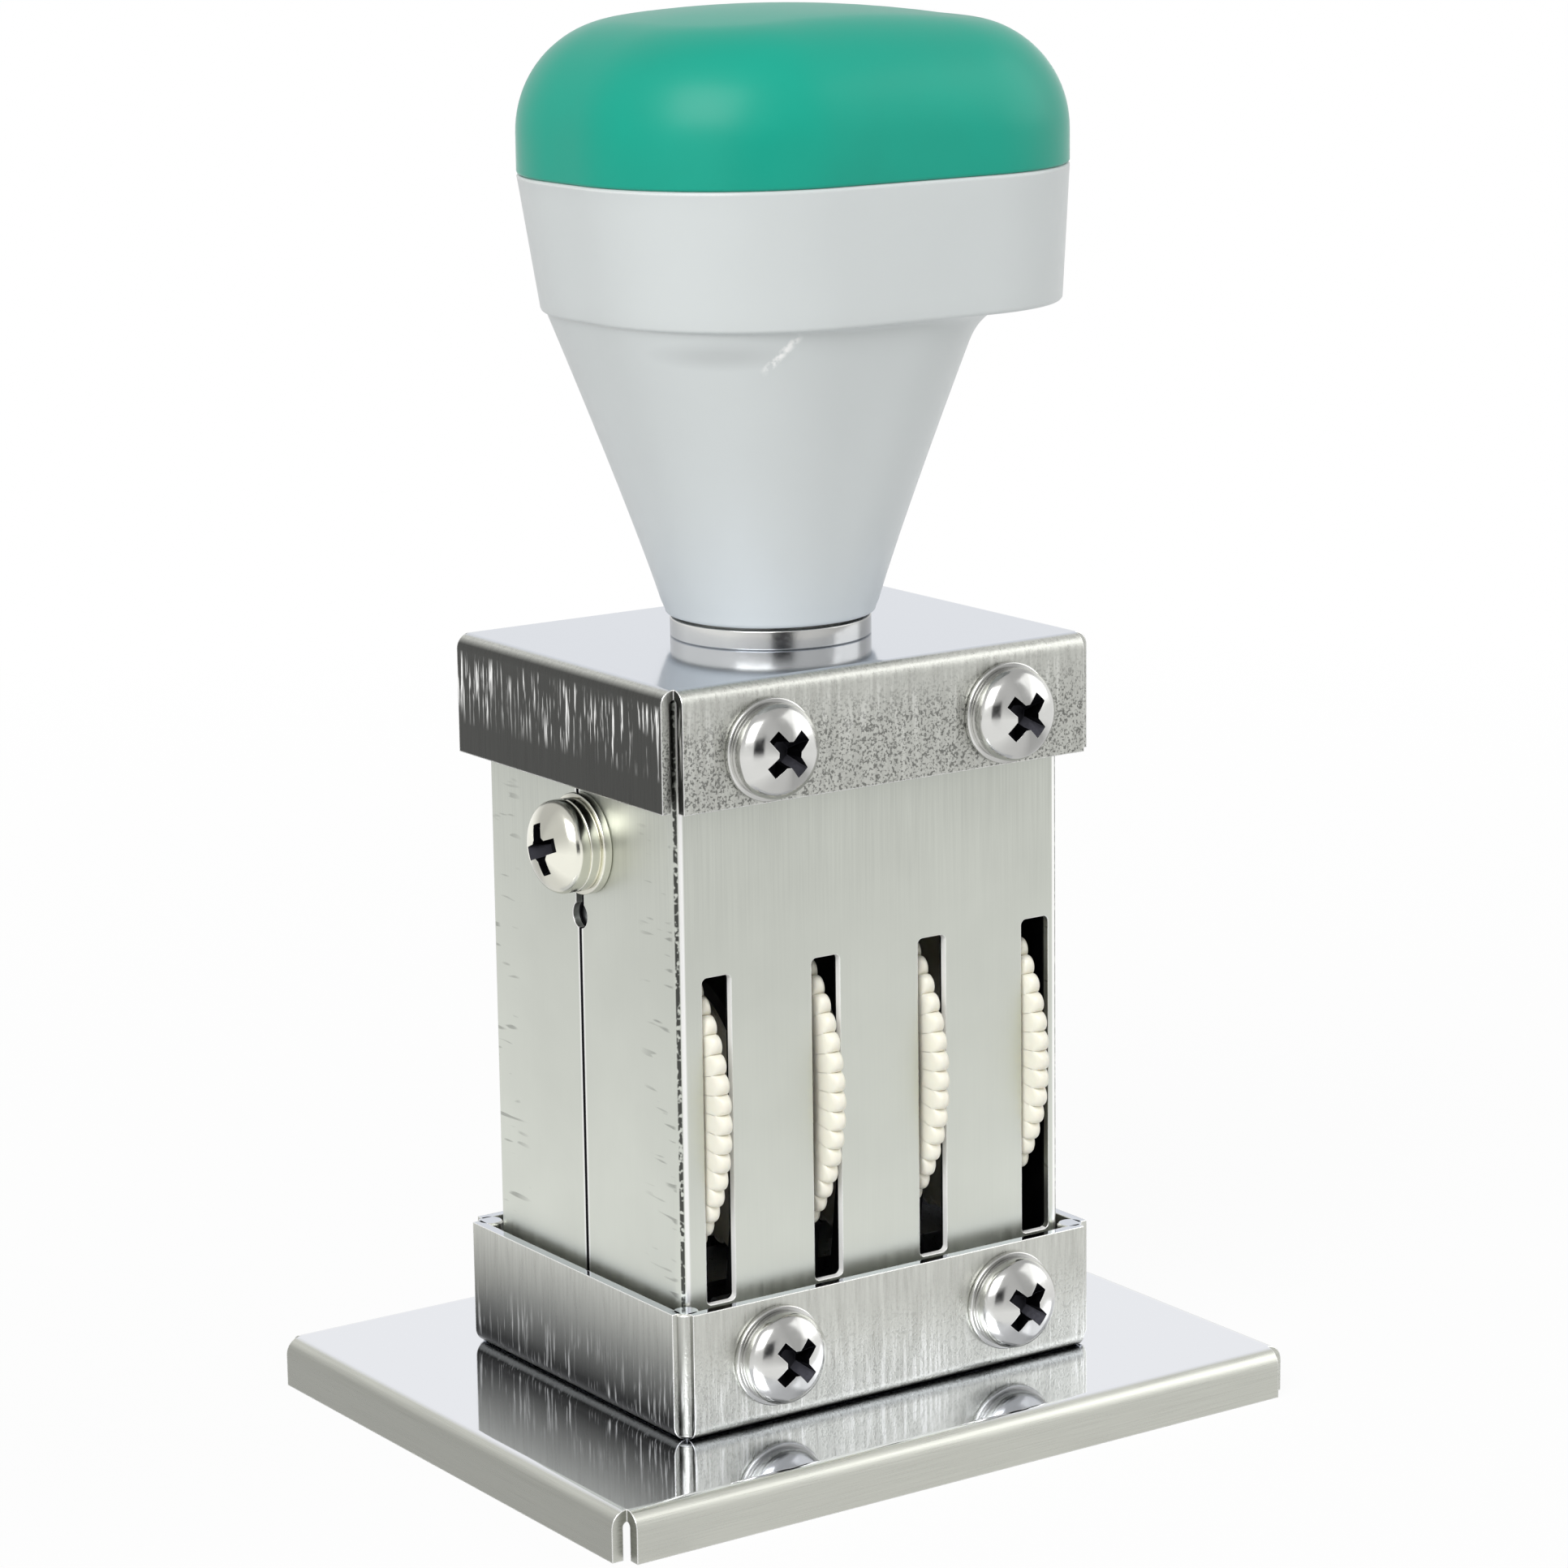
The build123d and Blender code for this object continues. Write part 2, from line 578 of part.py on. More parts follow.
# Countersunk screws that hold the platen's ends to the cheeks
with BuildPart() as platen_screws:
    for seat in cheek_seats:
        with BuildSketch(seat):
            with Locations((0, platen_screw_z)):
                Circle(PLATEN_SCREW_HEAD)
        extrude(amount=-FRAME_SHEET, taper=COUNTERSINK_ANGLE)
        with BuildSketch(seat):
            with Locations((0, platen_screw_z)):
                Circle(PLATEN_SCREW_RADIUS)
        extrude(amount=-PLATEN_SCREW_LENGTH)
save(platen_screws, "platen_screws")

# Belt guide: a moulded frame on the tray's floor, with fins that keep the belts apart
with BuildPart() as belt_guide:
    with BuildSketch(Plane.XY.offset(tray_floor_z)):
        with Locations((SLOT_SHIFT, 0)):
            Rectangle(guide_inner_width + 2 * GUIDE_WALL, guide_inner_depth + 2 * GUIDE_WALL)
            Rectangle(guide_inner_width, guide_inner_depth, mode=Mode.SUBTRACT)
        fin_reach = (guide_inner_depth - PLATEN_DEPTH) / 2 - PLATEN_SLACK
        fin_y = guide_inner_depth / 2 - fin_reach / 2
        for x in spaced(SLOT_COUNT - 1, belt_pitch, SLOT_SHIFT):
            with Locations((x, -fin_y), (x, fin_y)):
                Rectangle(GUIDE_FIN, fin_reach)
    extrude(amount=GUIDE_HEIGHT)
save(belt_guide, "belt_guide")


def between(low, high, share):
    """A size part of the way from one value to another."""
    return low + share * (high - low)


def head_outline(z, inset):
    """The head's level, rounded outline at a height between the band's foot and the parting line."""
    share = (z - band_z) / BAND_HEIGHT
    width = between(BAND_WIDTH, HEAD_WIDTH, share)
    depth = between(BAND_DEPTH, HEAD_DEPTH, share)
    corner = between(BAND_CORNER, HEAD_CORNER, share)
    with BuildSketch(Plane.XY.offset(z)) as outline:
        with Locations((between(BAND_OVERHANG, HEAD_OVERHANG, share) - width / 2, 0)):
            RectangleRounded(width - 2 * inset, depth - 2 * inset, corner - inset)
    return outline.sketch


# Handle body: a moulded funnel from the neck to a band that overhangs it, most of all on the right
funnel_shift = BAND_OVERHANG - BAND_WIDTH + FUNNEL_LIP + FUNNEL_WIDTH / 2
funnel_depth = BAND_DEPTH - 2 * FUNNEL_LIP
funnel_corner = BAND_CORNER - FUNNEL_LIP
with BuildPart() as handle_body:
    loft([head_outline(band_z, 0), head_outline(parting_z, 0)])
    fillet(handle_body.edges().group_by(Axis.Z)[0], BAND_ROUND)
    for rise, flare in FUNNEL_FLARE:
        width = between(NECK_WIDTH, FUNNEL_WIDTH, flare)
        depth = between(NECK_WIDTH, funnel_depth, flare)
        with BuildSketch(Plane.XY.offset(neck_z + rise * FUNNEL_HEIGHT)):
            with Locations((rise * funnel_shift, 0)):
                RectangleRounded(width, depth, between(NECK_CORNER, funnel_corner, flare))
    loft()
    fillet(handle_body.edges().group_by(Axis.Z)[0], NECK_ROUND)
    cavity_foot = head_outline(band_z + CAVITY_FLOOR, HANDLE_WALL)
    loft([cavity_foot, head_outline(parting_z, HANDLE_WALL)], mode=Mode.SUBTRACT)
    with BuildSketch(Plane.XY.offset(neck_z)):
        Circle(STUD_RADIUS + STUD_CLEARANCE)
    extrude(amount=STUD_REACH, mode=Mode.SUBTRACT)
save(handle_body, "handle_body")


def dome(z, height, edge, inset):
    """A block with a crowned top and a deep rounded edge, over the head's outline."""
    middle = HEAD_OVERHANG - HEAD_WIDTH / 2 + DOME_CROWN_SHIFT
    block = extrude(head_outline(z, inset), amount=height, mode=Mode.PRIVATE)
    ball = Pos(middle, 0, z + height - DOME_CROWN_RADIUS) * Sphere(DOME_CROWN_RADIUS, mode=Mode.PRIVATE)
    crowned = block & ball
    return crowned.fillet(edge, crowned.faces().filter_by(GeomType.SPHERE)[0].edges())


# Handle cap: a soft domed shell whose spigot sits inside the band
with BuildPart() as handle_cap:
    add(dome(parting_z, DOME_HEIGHT, DOME_EDGE, 0))
    spigot_z = parting_z - SPIGOT_DEPTH
    spigot_inset = HANDLE_WALL + SPIGOT_CLEARANCE
    hollow_inset = spigot_inset + SPIGOT_WALL
    loft([head_outline(spigot_z, spigot_inset), head_outline(parting_z, spigot_inset)])
    loft([head_outline(spigot_z, hollow_inset), head_outline(parting_z, hollow_inset)], mode=Mode.SUBTRACT)
    add(dome(parting_z, DOME_HEIGHT - DOME_WALL, DOME_EDGE - DOME_WALL, hollow_inset), mode=Mode.SUBTRACT)
save(handle_cap, "handle_cap")

# Collar: a turned ring on the cap, with a step that the neck stands on
with BuildPart() as handle_collar:
    with BuildSketch(Plane.XY.offset(cap_top_z)):
        Circle(COLLAR_RADIUS)
    extrude(amount=COLLAR_HEIGHT)
    chamfer(handle_collar.edges().group_by(Axis.Z)[-1], COLLAR_CHAMFER)
    with BuildSketch(Plane.XY.offset(collar_top_z)):
        Circle(COLLAR_STEP_RADIUS)
    extrude(amount=COLLAR_STEP)
    with BuildSketch(Plane.XY.offset(cap_top_z)):
        Circle(STUD_RADIUS + STUD_CLEARANCE)
    extrude(amount=COLLAR_HEIGHT + COLLAR_STEP, mode=Mode.SUBTRACT)
save(handle_collar, "handle_collar")

# Stud with its washer and nut: clamps the handle and the collar to the cap
stud_bore = STUD_RADIUS + STUD_CLEARANCE
with BuildPart() as handle_stud:
    with BuildSketch(Plane.XY.offset(stud_foot_z)):
        Circle(STUD_RADIUS)
    extrude(amount=neck_z + STUD_REACH - STUD_CLEARANCE - stud_foot_z)
save(handle_stud, "handle_stud")

with BuildPart() as stud_washer:
    rings([Plane.XY.offset(stud_washer_z)], STUD_WASHER_RADIUS, stud_bore, STUD_WASHER_THICKNESS)
save(stud_washer, "stud_washer")

with BuildPart() as stud_nut:
    hex_nuts([Plane.XY.offset(stud_washer_z)], STUD_NUT_ACROSS, stud_bore, STUD_NUT_HEIGHT)
save(stud_nut, "stud_nut")
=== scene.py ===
"""Finishes and detailed pieces of a hand numbering machine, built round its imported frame.

All places are in metres in the frame's own axes: +Z up, +X along the slotted front, +Y to the back.
"""

import json
import math
import random

import bmesh
import bpy
from bpy.props import FloatProperty, FloatVectorProperty, IntProperty, PointerProperty
from mathutils import Matrix, Vector


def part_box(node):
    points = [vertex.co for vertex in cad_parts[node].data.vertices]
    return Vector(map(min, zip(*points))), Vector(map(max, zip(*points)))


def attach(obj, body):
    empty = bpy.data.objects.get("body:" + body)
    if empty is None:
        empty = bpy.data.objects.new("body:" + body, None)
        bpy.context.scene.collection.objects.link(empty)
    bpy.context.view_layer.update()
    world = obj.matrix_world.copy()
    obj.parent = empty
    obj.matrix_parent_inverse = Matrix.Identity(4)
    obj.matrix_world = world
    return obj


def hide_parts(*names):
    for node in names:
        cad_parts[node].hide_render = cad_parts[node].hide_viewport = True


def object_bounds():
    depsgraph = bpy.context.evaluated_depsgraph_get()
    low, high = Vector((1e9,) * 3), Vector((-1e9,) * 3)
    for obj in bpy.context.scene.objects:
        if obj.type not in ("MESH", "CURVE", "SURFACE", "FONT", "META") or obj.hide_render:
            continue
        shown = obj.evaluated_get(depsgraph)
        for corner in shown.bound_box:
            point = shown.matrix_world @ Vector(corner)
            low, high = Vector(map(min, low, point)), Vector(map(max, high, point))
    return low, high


bl_info = {
    "name": "Numbering Machine",
    "version": (1, 0, 0),
    "blender": (4, 5, 0),
    "location": "3D View > Sidebar > Numbering Machine",
    "description": "Finishes and detailed pieces of a hand numbering machine",
    "category": "Object",
}

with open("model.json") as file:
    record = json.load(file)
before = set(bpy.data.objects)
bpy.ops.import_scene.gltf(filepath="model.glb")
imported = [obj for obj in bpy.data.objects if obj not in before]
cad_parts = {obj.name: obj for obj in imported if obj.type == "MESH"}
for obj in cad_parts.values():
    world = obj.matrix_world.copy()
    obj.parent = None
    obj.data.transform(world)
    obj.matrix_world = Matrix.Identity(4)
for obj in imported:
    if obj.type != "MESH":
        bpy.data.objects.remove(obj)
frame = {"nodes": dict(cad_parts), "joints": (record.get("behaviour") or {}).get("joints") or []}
frame_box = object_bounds()

MM = 0.001
MACHINE = "machine"
WHEEL_COUNT = 4
AXLE_Z = frame["joints"][0]["pos_m"][2]


def linear(hex_colour):
    """Scene-linear RGB of an sRGB hex colour."""
    channels = [int(hex_colour[i : i + 2], 16) / 255 for i in (0, 2, 4)]
    return tuple(c / 12.92 if c <= 0.04045 else ((c + 0.055) / 1.055) ** 2.4 for c in channels)


def colour_property(name, description, hex_colour):
    """A colour that the panel shows as a swatch."""
    return FloatVectorProperty(
        name=name,
        description=description,
        subtype="COLOR",
        size=3,
        min=0.0,
        max=1.0,
        default=linear(hex_colour),
    )


def size_property(name, description, millimetres):
    """A length in metres, given in millimetres."""
    return FloatProperty(
        name=name, description=description, unit="LENGTH", precision=5, min=0.0, default=millimetres * MM
    )


# ---------------------------------------------------------------- settings


class HandleSettings(bpy.types.PropertyGroup):
    """Sizes and colours of the moulded handle and its soft cap."""

    shell_colour: colour_property("Shell", "Pale grey of the moulded handle", "D2D7D7")
    grip_colour: colour_property("Grip", "Teal of the soft cap", "009E87")
    neck_width: size_property(
        "Neck width", "Width and depth of the funnel where it stands on the collar", 17.1
    )
    neck_corner: size_property("Neck corner", "Corner radius of the neck", 8.3)
    neck_round: size_property("Neck rounding", "Rounding of the neck's lower edge", 0.35)
    neck_drop: size_property(
        "Neck drop", "How far the neck's skirt reaches down over the collar's groove", 0.3
    )
    band_height: size_property("Band height", "Height of the straight band above the funnel", 11.1)
    band_width: size_property("Band width", "Width of the band at its lower edge", 41.8)
    band_depth: size_property("Band depth", "Depth of the band at its lower edge", 33.1)
    band_corner: size_property("Band corner", "Corner radius of the band at its lower edge", 13.9)
    band_reach: size_property(
        "Band reach", "How far the band's lower edge reaches to the right of the axis", 24.5
    )
    band_round: size_property("Band rounding", "Rounding of the band's lower edge", 0.28)
    head_corner: size_property("Head corner", "Corner radius at the parting line", 14.4)
    funnel_width: size_property("Funnel width", "Width of the funnel under the band", 33.6)
    funnel_lip: size_property("Funnel lip", "How far the band stands out over the funnel on the left", 0.32)
    front_lip: size_property(
        "Front lip", "How far the band stands out over the funnel at front and back", 0.90
    )
    underside_fillet: size_property(
        "Underside fillet", "Hollow curve between the funnel and the band's overhang", 4.6
    )
    rim_width: size_property("Rim width", "Width and depth of the flat rim at the top of the band", 2.2)
    parting_round: size_property("Parting rounding", "Rounding of both edges at the parting line", 0.28)
    dome_edge: size_property("Dome edge", "Radius of the soft cap's shoulder", 9.0)
    crown_radius: size_property("Crown radius", "Radius of the soft cap's nearly flat top", 95.0)
    crown_shift: FloatProperty(
        name="Crown shift",
        description="Place of the cap's highest point beside its middle",
        unit="LENGTH",
        precision=5,
        default=-2.0 * MM,
    )
    peel_size: size_property(
        "Peel size", "Width of the faint waves that moulding leaves in the handle", 1.1
    )


class SheetSettings(bpy.types.PropertyGroup):
    """Colours and grain of the folded steel sheets."""

    polished_colour: colour_property("Polished", "Steel of the base plate's polished top", "E3E5EA")
    cap_top_colour: colour_property("Cap top", "Bright rolled steel of the cap's level top", "C8CDD6")
    flange_colour: colour_property("Flange", "Steel of the base plate's brushed flanges", "C0C1B9")
    rolled_colour: colour_property(
        "Rolled", "Bright rolled steel of the cap's and tray's flanges", "BDBEB8"
    )
    satin_colour: colour_property("Satin", "Satin steel of the housing's panels", "CACDC5")
    # Painted highlight: the bright line along bends and cut edges
    edge_colour: colour_property("Cut edge", "Bare bright metal on bends and cut edges", "FAFAF8")
    # Painted shade on the housing's inner side
    inside_colour: colour_property("Inside", "Oiled, unlit inner side of the housing", "26262A")
    edge_width: size_property("Edge width", "Width of the bright line along bends and cut edges", 0.16)
    brush_width: size_property("Brush width", "Spacing of the brushing lines", 0.14)
    brush_length: size_property("Brush length", "Length of a brushing line", 9.0)
    stroke_width: size_property("Stroke width", "Width of a folding tool's stroke on the flanges", 0.34)
    stroke_length: size_property("Stroke length", "Length of a folding tool's stroke on the flanges", 5.0)
    grain_size: size_property("Grain size", "Size of the pressed speckle round the screws", 0.21)


class FastenerSettings(bpy.types.PropertyGroup):
    """Sizes and colours of screws, washers, collar, nuts and rivets."""

    steel_colour: colour_property("Steel", "Bright pressed stainless steel", "D9D9D6")
    plated_colour: colour_property("Plated", "Warmer bright plate of the side screws", "F2F1E4")
    # Painted shade in the cross recess
    recess_colour: colour_property("Recess", "Oiled steel in the cross recess", "26262A")
    zinc_colour: colour_property("Zinc", "Plain zinc plate of the inner frame and nuts", "8C8E92")
    aluminium_colour: colour_property("Aluminium", "Milled platen and set rivets", "BFC0C2")
    head_radius: size_property("Head radius", "Radius of the pan heads", 3.8)
    head_height: size_property("Head height", "Height of the pan heads", 2.6)
    head_edge: size_property("Head edge", "Straight edge under the dome", 0.7)
    collar_radius: size_property("Collar radius", "Radius of the ring under the handle's neck", 8.25)
    shank_radius: size_property("Shank radius", "Radius of the shanks", 2.0)
    recess_span: size_property("Recess span", "Span of the cross recess at the dome's top", 4.7)
    recess_width: size_property("Recess width", "Width of a wing of the recess at the dome's top", 1.15)
    recess_depth: size_property("Recess depth", "Depth of the recess", 1.7)
    washer_radius: size_property("Washer radius", "Radius of the flat washers", 4.15)
    washer_bore: size_property("Washer bore", "Bore radius of the washers", 2.2)
    spring_radius: size_property("Spring washer radius", "Radius of the split washers", 3.8)
    edge_round: size_property("Edge rounding", "Rounding of pressed and turned edges", 0.14)


class WheelSettings(bpy.types.PropertyGroup):
    """Sizes and colours of the number wheels and their belts."""

    wheel_colour: colour_property("Wheel", "Natural white of the moulded wheels", "F4F1E3")
    belt_colour: colour_property("Belt", "Black rubber of the number belts", "161617")
    guide_colour: colour_property("Guide", "Black moulded belt guide", "1B1B1D")
    lobe_count: IntProperty(
        name="Lobes", description="Rounded pegs round the rim of a disc", min=12, default=60
    )
    lobe_height: size_property("Lobe height", "How far a peg stands out of the rim", 0.95)
    lobe_width: size_property("Lobe width", "Width of a peg along the rim", 1.64)
    rim_round: size_property(
        "Rim rounding", "How far the rim between the pegs rounds off at both faces", 0.25
    )
    disc_thickness: size_property("Disc thickness", "Thickness of the thumb disc", 1.3)
    dish_depth: size_property("Dish depth", "Depth of the dish in both faces of the disc", 0.18)
    hub_radius: size_property("Hub radius", "Radius of the hub between disc and drum", 3.6)
    drum_radius: size_property("Drum radius", "Radius of the belt's drum", 7.0)
    bore_radius: size_property("Bore radius", "Bore that turns on the axle", 2.05)
    figure_count: IntProperty(
        name="Figures", description="Places for figures round a belt", min=10, default=14
    )
    figure_height: size_property("Figure height", "Height of a printed figure", 4.3)
    figure_relief: size_property("Figure relief", "How far the figures stand out of the belt", 0.85)


class StageSettings(bpy.types.PropertyGroup):
    """Floor, light and camera."""

    floor_colour: colour_property("Floor", "Pale paper that the machine stands on", "F0F0EF")
    floor_size: FloatProperty(
        name="Floor size", description="Side of the floor", unit="LENGTH", default=9.0
    )
    floor_lift: FloatProperty(
        name="Floor lift",
        description="Share of plain white in the floor as seen near the machine",
        default=0.94,
    )
    sky_level: FloatProperty(name="Sky level", description="Soft light from all round", default=0.24)
    key_level: FloatProperty(
        name="Key level",
        description="Power of the large lamp at the upper left",
        unit="POWER",
        default=14.0,
    )
    fill_level: FloatProperty(
        name="Fill level", description="Power of the lamp at the right", unit="POWER", default=4.2
    )
    flag_colour: colour_property("Flag", "Dark card that the steel mirrors", "3C3C40")
    camera_place: FloatVectorProperty(
        name="Camera",
        description="Where the camera stands",
        subtype="TRANSLATION",
        default=(-0.22342, -0.32794, 0.139435),
    )
    camera_yaw: FloatProperty(
        name="Yaw", description="Turn from +Y towards +X", subtype="ANGLE", default=math.radians(34.398)
    )
    camera_pitch: FloatProperty(
        name="Pitch", description="Tilt below the horizon", subtype="ANGLE", default=math.radians(12.379)
    )
    camera_roll: FloatProperty(
        name="Roll", description="Roll about the view", subtype="ANGLE", default=math.radians(-0.780)
    )
    camera_lens: FloatProperty(
        name="Lens", description="Focal length in millimetres on a 36 mm sensor", default=113.08
    )


SETTINGS = {
    "machine_handle": HandleSettings,
    "machine_sheet": SheetSettings,
    "machine_fastener": FastenerSettings,
    "machine_wheel": WheelSettings,
    "machine_stage": StageSettings,
}


# ---------------------------------------------------------------- nodes and meshes


def add(tree, kind, inputs=(), **settings):
    """Add a shader node with its settings, and fill its inputs, given by name or in the node's own order.

    An input is a plain value, another node's output, or a node, which stands for its first output in use.
    """
    made = tree.nodes.new("ShaderNode" + kind)
    for name, value in settings.items():
        setattr(made, name, value)
    if not isinstance(inputs, dict):
        in_use = [socket.identifier for socket in made.inputs if socket.enabled]
        order = {socket.identifier: i for i, socket in enumerate(made.inputs)}
        inputs = {order[name]: value for name, value in zip(in_use, inputs)}
    for name, value in inputs.items():
        if isinstance(value, bpy.types.Node):
            value = next(socket for socket in value.outputs if socket.enabled)
        if isinstance(value, bpy.types.NodeSocket):
            tree.links.new(value, made.inputs[name])
        else:
            made.inputs[name].default_value = value
    return made


def start_material(name):
    """A material with an empty node tree."""
    material = bpy.data.materials.new(name)
    material.use_nodes = True
    material.node_tree.nodes.clear()
    return material, material.node_tree


def per_metre(*sizes):
    """Texture scale of a pattern whose features have these real sizes along X, Y and Z."""
    return tuple(1 / size for size in sizes)


def dress(material, *names):
    """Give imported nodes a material."""
    for name in names:
        mesh = frame["nodes"][name].data
        mesh.materials.clear()
        mesh.materials.append(material)


def place(name, mesh, material, body, nodes=()):
    """Make a piece from a mesh that already lies in the frame, and let it ride on a body."""
    mesh.materials.append(material)
    mesh.shade_smooth()
    mesh.set_sharp_from_angle(angle=math.radians(38))
    piece = bpy.data.objects.new(name, mesh)
    bpy.context.scene.collection.objects.link(piece)
    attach(piece, body)
    if nodes:
        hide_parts(*nodes)
    return piece


def mesh_of(form, name, matrix=None):
    """Close a bmesh into a mesh with its faces turned outwards."""
    bmesh.ops.recalc_face_normals(form, faces=form.faces)
    mesh = bpy.data.meshes.new(name)
    form.to_mesh(mesh)
    form.free()
    if matrix is not None:
        mesh.transform(matrix)
    return mesh


def band(form, rows):
    """Join rows of vertices, each a closed ring, with quads."""
    for low, high in zip(rows, rows[1:]):
        for i in range(len(low)):
            j = (i + 1) % len(low)
            form.faces.new((low[i], low[j], high[j], high[i]))


def skin(form, rings, closed_profile=False):
    """Join rings of equal length; closed_profile also joins the last ring to the first."""
    rows = [[form.verts.new(point) for point in ring] for ring in rings]
    band(form, [*rows, rows[0]] if closed_profile else rows)
    return rows


def capped_skin(rings):
    """A form whose rings are joined and whose first and last ring are closed by a face."""
    form = bmesh.new()
    rows = skin(form, rings)
    form.faces.new(rows[0])
    form.faces.new(rows[-1])
    return form


def circle_rings(profile, segments):
    """A level ring of points for each (radius, height) pair of a profile."""
    angles = [2 * math.pi * i / segments for i in range(segments)]
    ways = [(math.cos(angle), math.sin(angle)) for angle in angles]
    return [[(radius * x, radius * y, height) for x, y in ways] for radius, height in profile]


def lathe(profile, segments):
    """A form turned about Z from a profile that starts and ends in a level face."""
    return capped_skin(circle_rings(profile, segments))


def lathe_ring(profile, segments, form=None):
    """A form turned about Z from a closed profile, which leaves a bore."""
    form = form or bmesh.new()
    skin(form, circle_rings(profile, segments), closed_profile=True)
    return form


def quarter(centre, radius, start, steps=5):
    """Points of a quarter circle in a profile, from a start angle in degrees and turning left."""
    angles = [math.radians(start + 90 * i / steps) for i in range(steps + 1)]
    return [(centre[0] + radius * math.cos(a), centre[1] + radius * math.sin(a)) for a in angles]


def ring_profile(inner, outer, low, high, soft):
    """Closed profile of a ring with four rounded edges."""
    return (
        quarter((outer - soft, low + soft), soft, -90)
        + quarter((outer - soft, high - soft), soft, 0)
        + quarter((inner + soft, high - soft), soft, 90)
        + quarter((inner + soft, low + soft), soft, 180)
    )


def rounded_outline(middle, width, depth, corner, arc=18, side=8):
    """Points of a rounded rectangle about (middle, 0), the same number for every size."""
    points = []
    half_x = width / 2 - corner
    half_y = depth / 2 - corner
    corners = ((half_x, half_y, 0), (-half_x, half_y, 90), (-half_x, -half_y, 180), (half_x, -half_y, 270))
    for k, (x, y, start) in enumerate(corners):
        for i in range(arc + 1):
            angle = math.radians(start + 90 * i / arc)
            points.append(Vector((middle + x + corner * math.cos(angle), y + corner * math.sin(angle))))
        nearest = points[-1]
        next_x, next_y, next_start = corners[(k + 1) % 4]
        angle = math.radians(next_start)
        end = Vector((middle + next_x + corner * math.cos(angle), next_y + corner * math.sin(angle)))
        points.extend(nearest.lerp(end, i / side) for i in range(1, side))
    return points


def outline_normals(arc=18, side=8):
    """Outward directions at the points of rounded_outline, which are the same for every size."""
    normals = []
    for start in (0, 90, 180, 270):
        angles = [math.radians(start + 90 * i / arc) for i in range(arc + 1)]
        normals.extend(Vector((math.cos(a), math.sin(a))) for a in angles)
        normals.extend([normals[-1]] * (side - 1))
    return normals


def reach(point, normal, middle, width, depth, corner):
    """Distance from a point inside a rounded rectangle to its outline, along a direction."""
    gone = 0.0
    for _ in range(24):
        at = point + normal * gone
        over_x = abs(at.x - middle) - width / 2 + corner
        over_y = abs(at.y) - depth / 2 + corner
        outside = math.hypot(max(over_x, 0.0), max(over_y, 0.0))
        gone -= outside + min(max(over_x, over_y), 0.0) - corner
    return gone


def level_corners(low, high, inset):
    """Places and names of the four corners of a box, seen from above and moved inwards."""
    for x, x_name in ((low.x + inset, "left"), (high.x - inset, "right")):
        for y, y_name in ((low.y + inset, "front"), (high.y - inset, "back")):
            yield x, y, f"{y_name}_{x_name}"


def rounding(radius, steps):
    """Inset and rise of the points of a rounded edge, from its level face to its upright one."""
    angles = [math.radians(90 * i / steps) for i in range(steps + 1)]
    return [(radius * (1 - math.sin(a)), radius * (1 - math.cos(a))) for a in angles]


def between(low, high, share):
    """A size part of the way from one value to another."""
    return low + share * (high - low)


# ---------------------------------------------------------------- materials


def edge_mask(tree, width):
    """A normal with softened edges, and a mask that is 1 along bends and cut edges."""
    soft = add(tree, "Bevel", {"Radius": width}, samples=6)
    flat = add(tree, "NewGeometry")
    alike = add(tree, "VectorMath", (soft, flat.outputs["Normal"]), operation="DOT_PRODUCT")
    mask = add(tree, "MapRange", (alike, 0.985, 0.88))
    return soft, mask


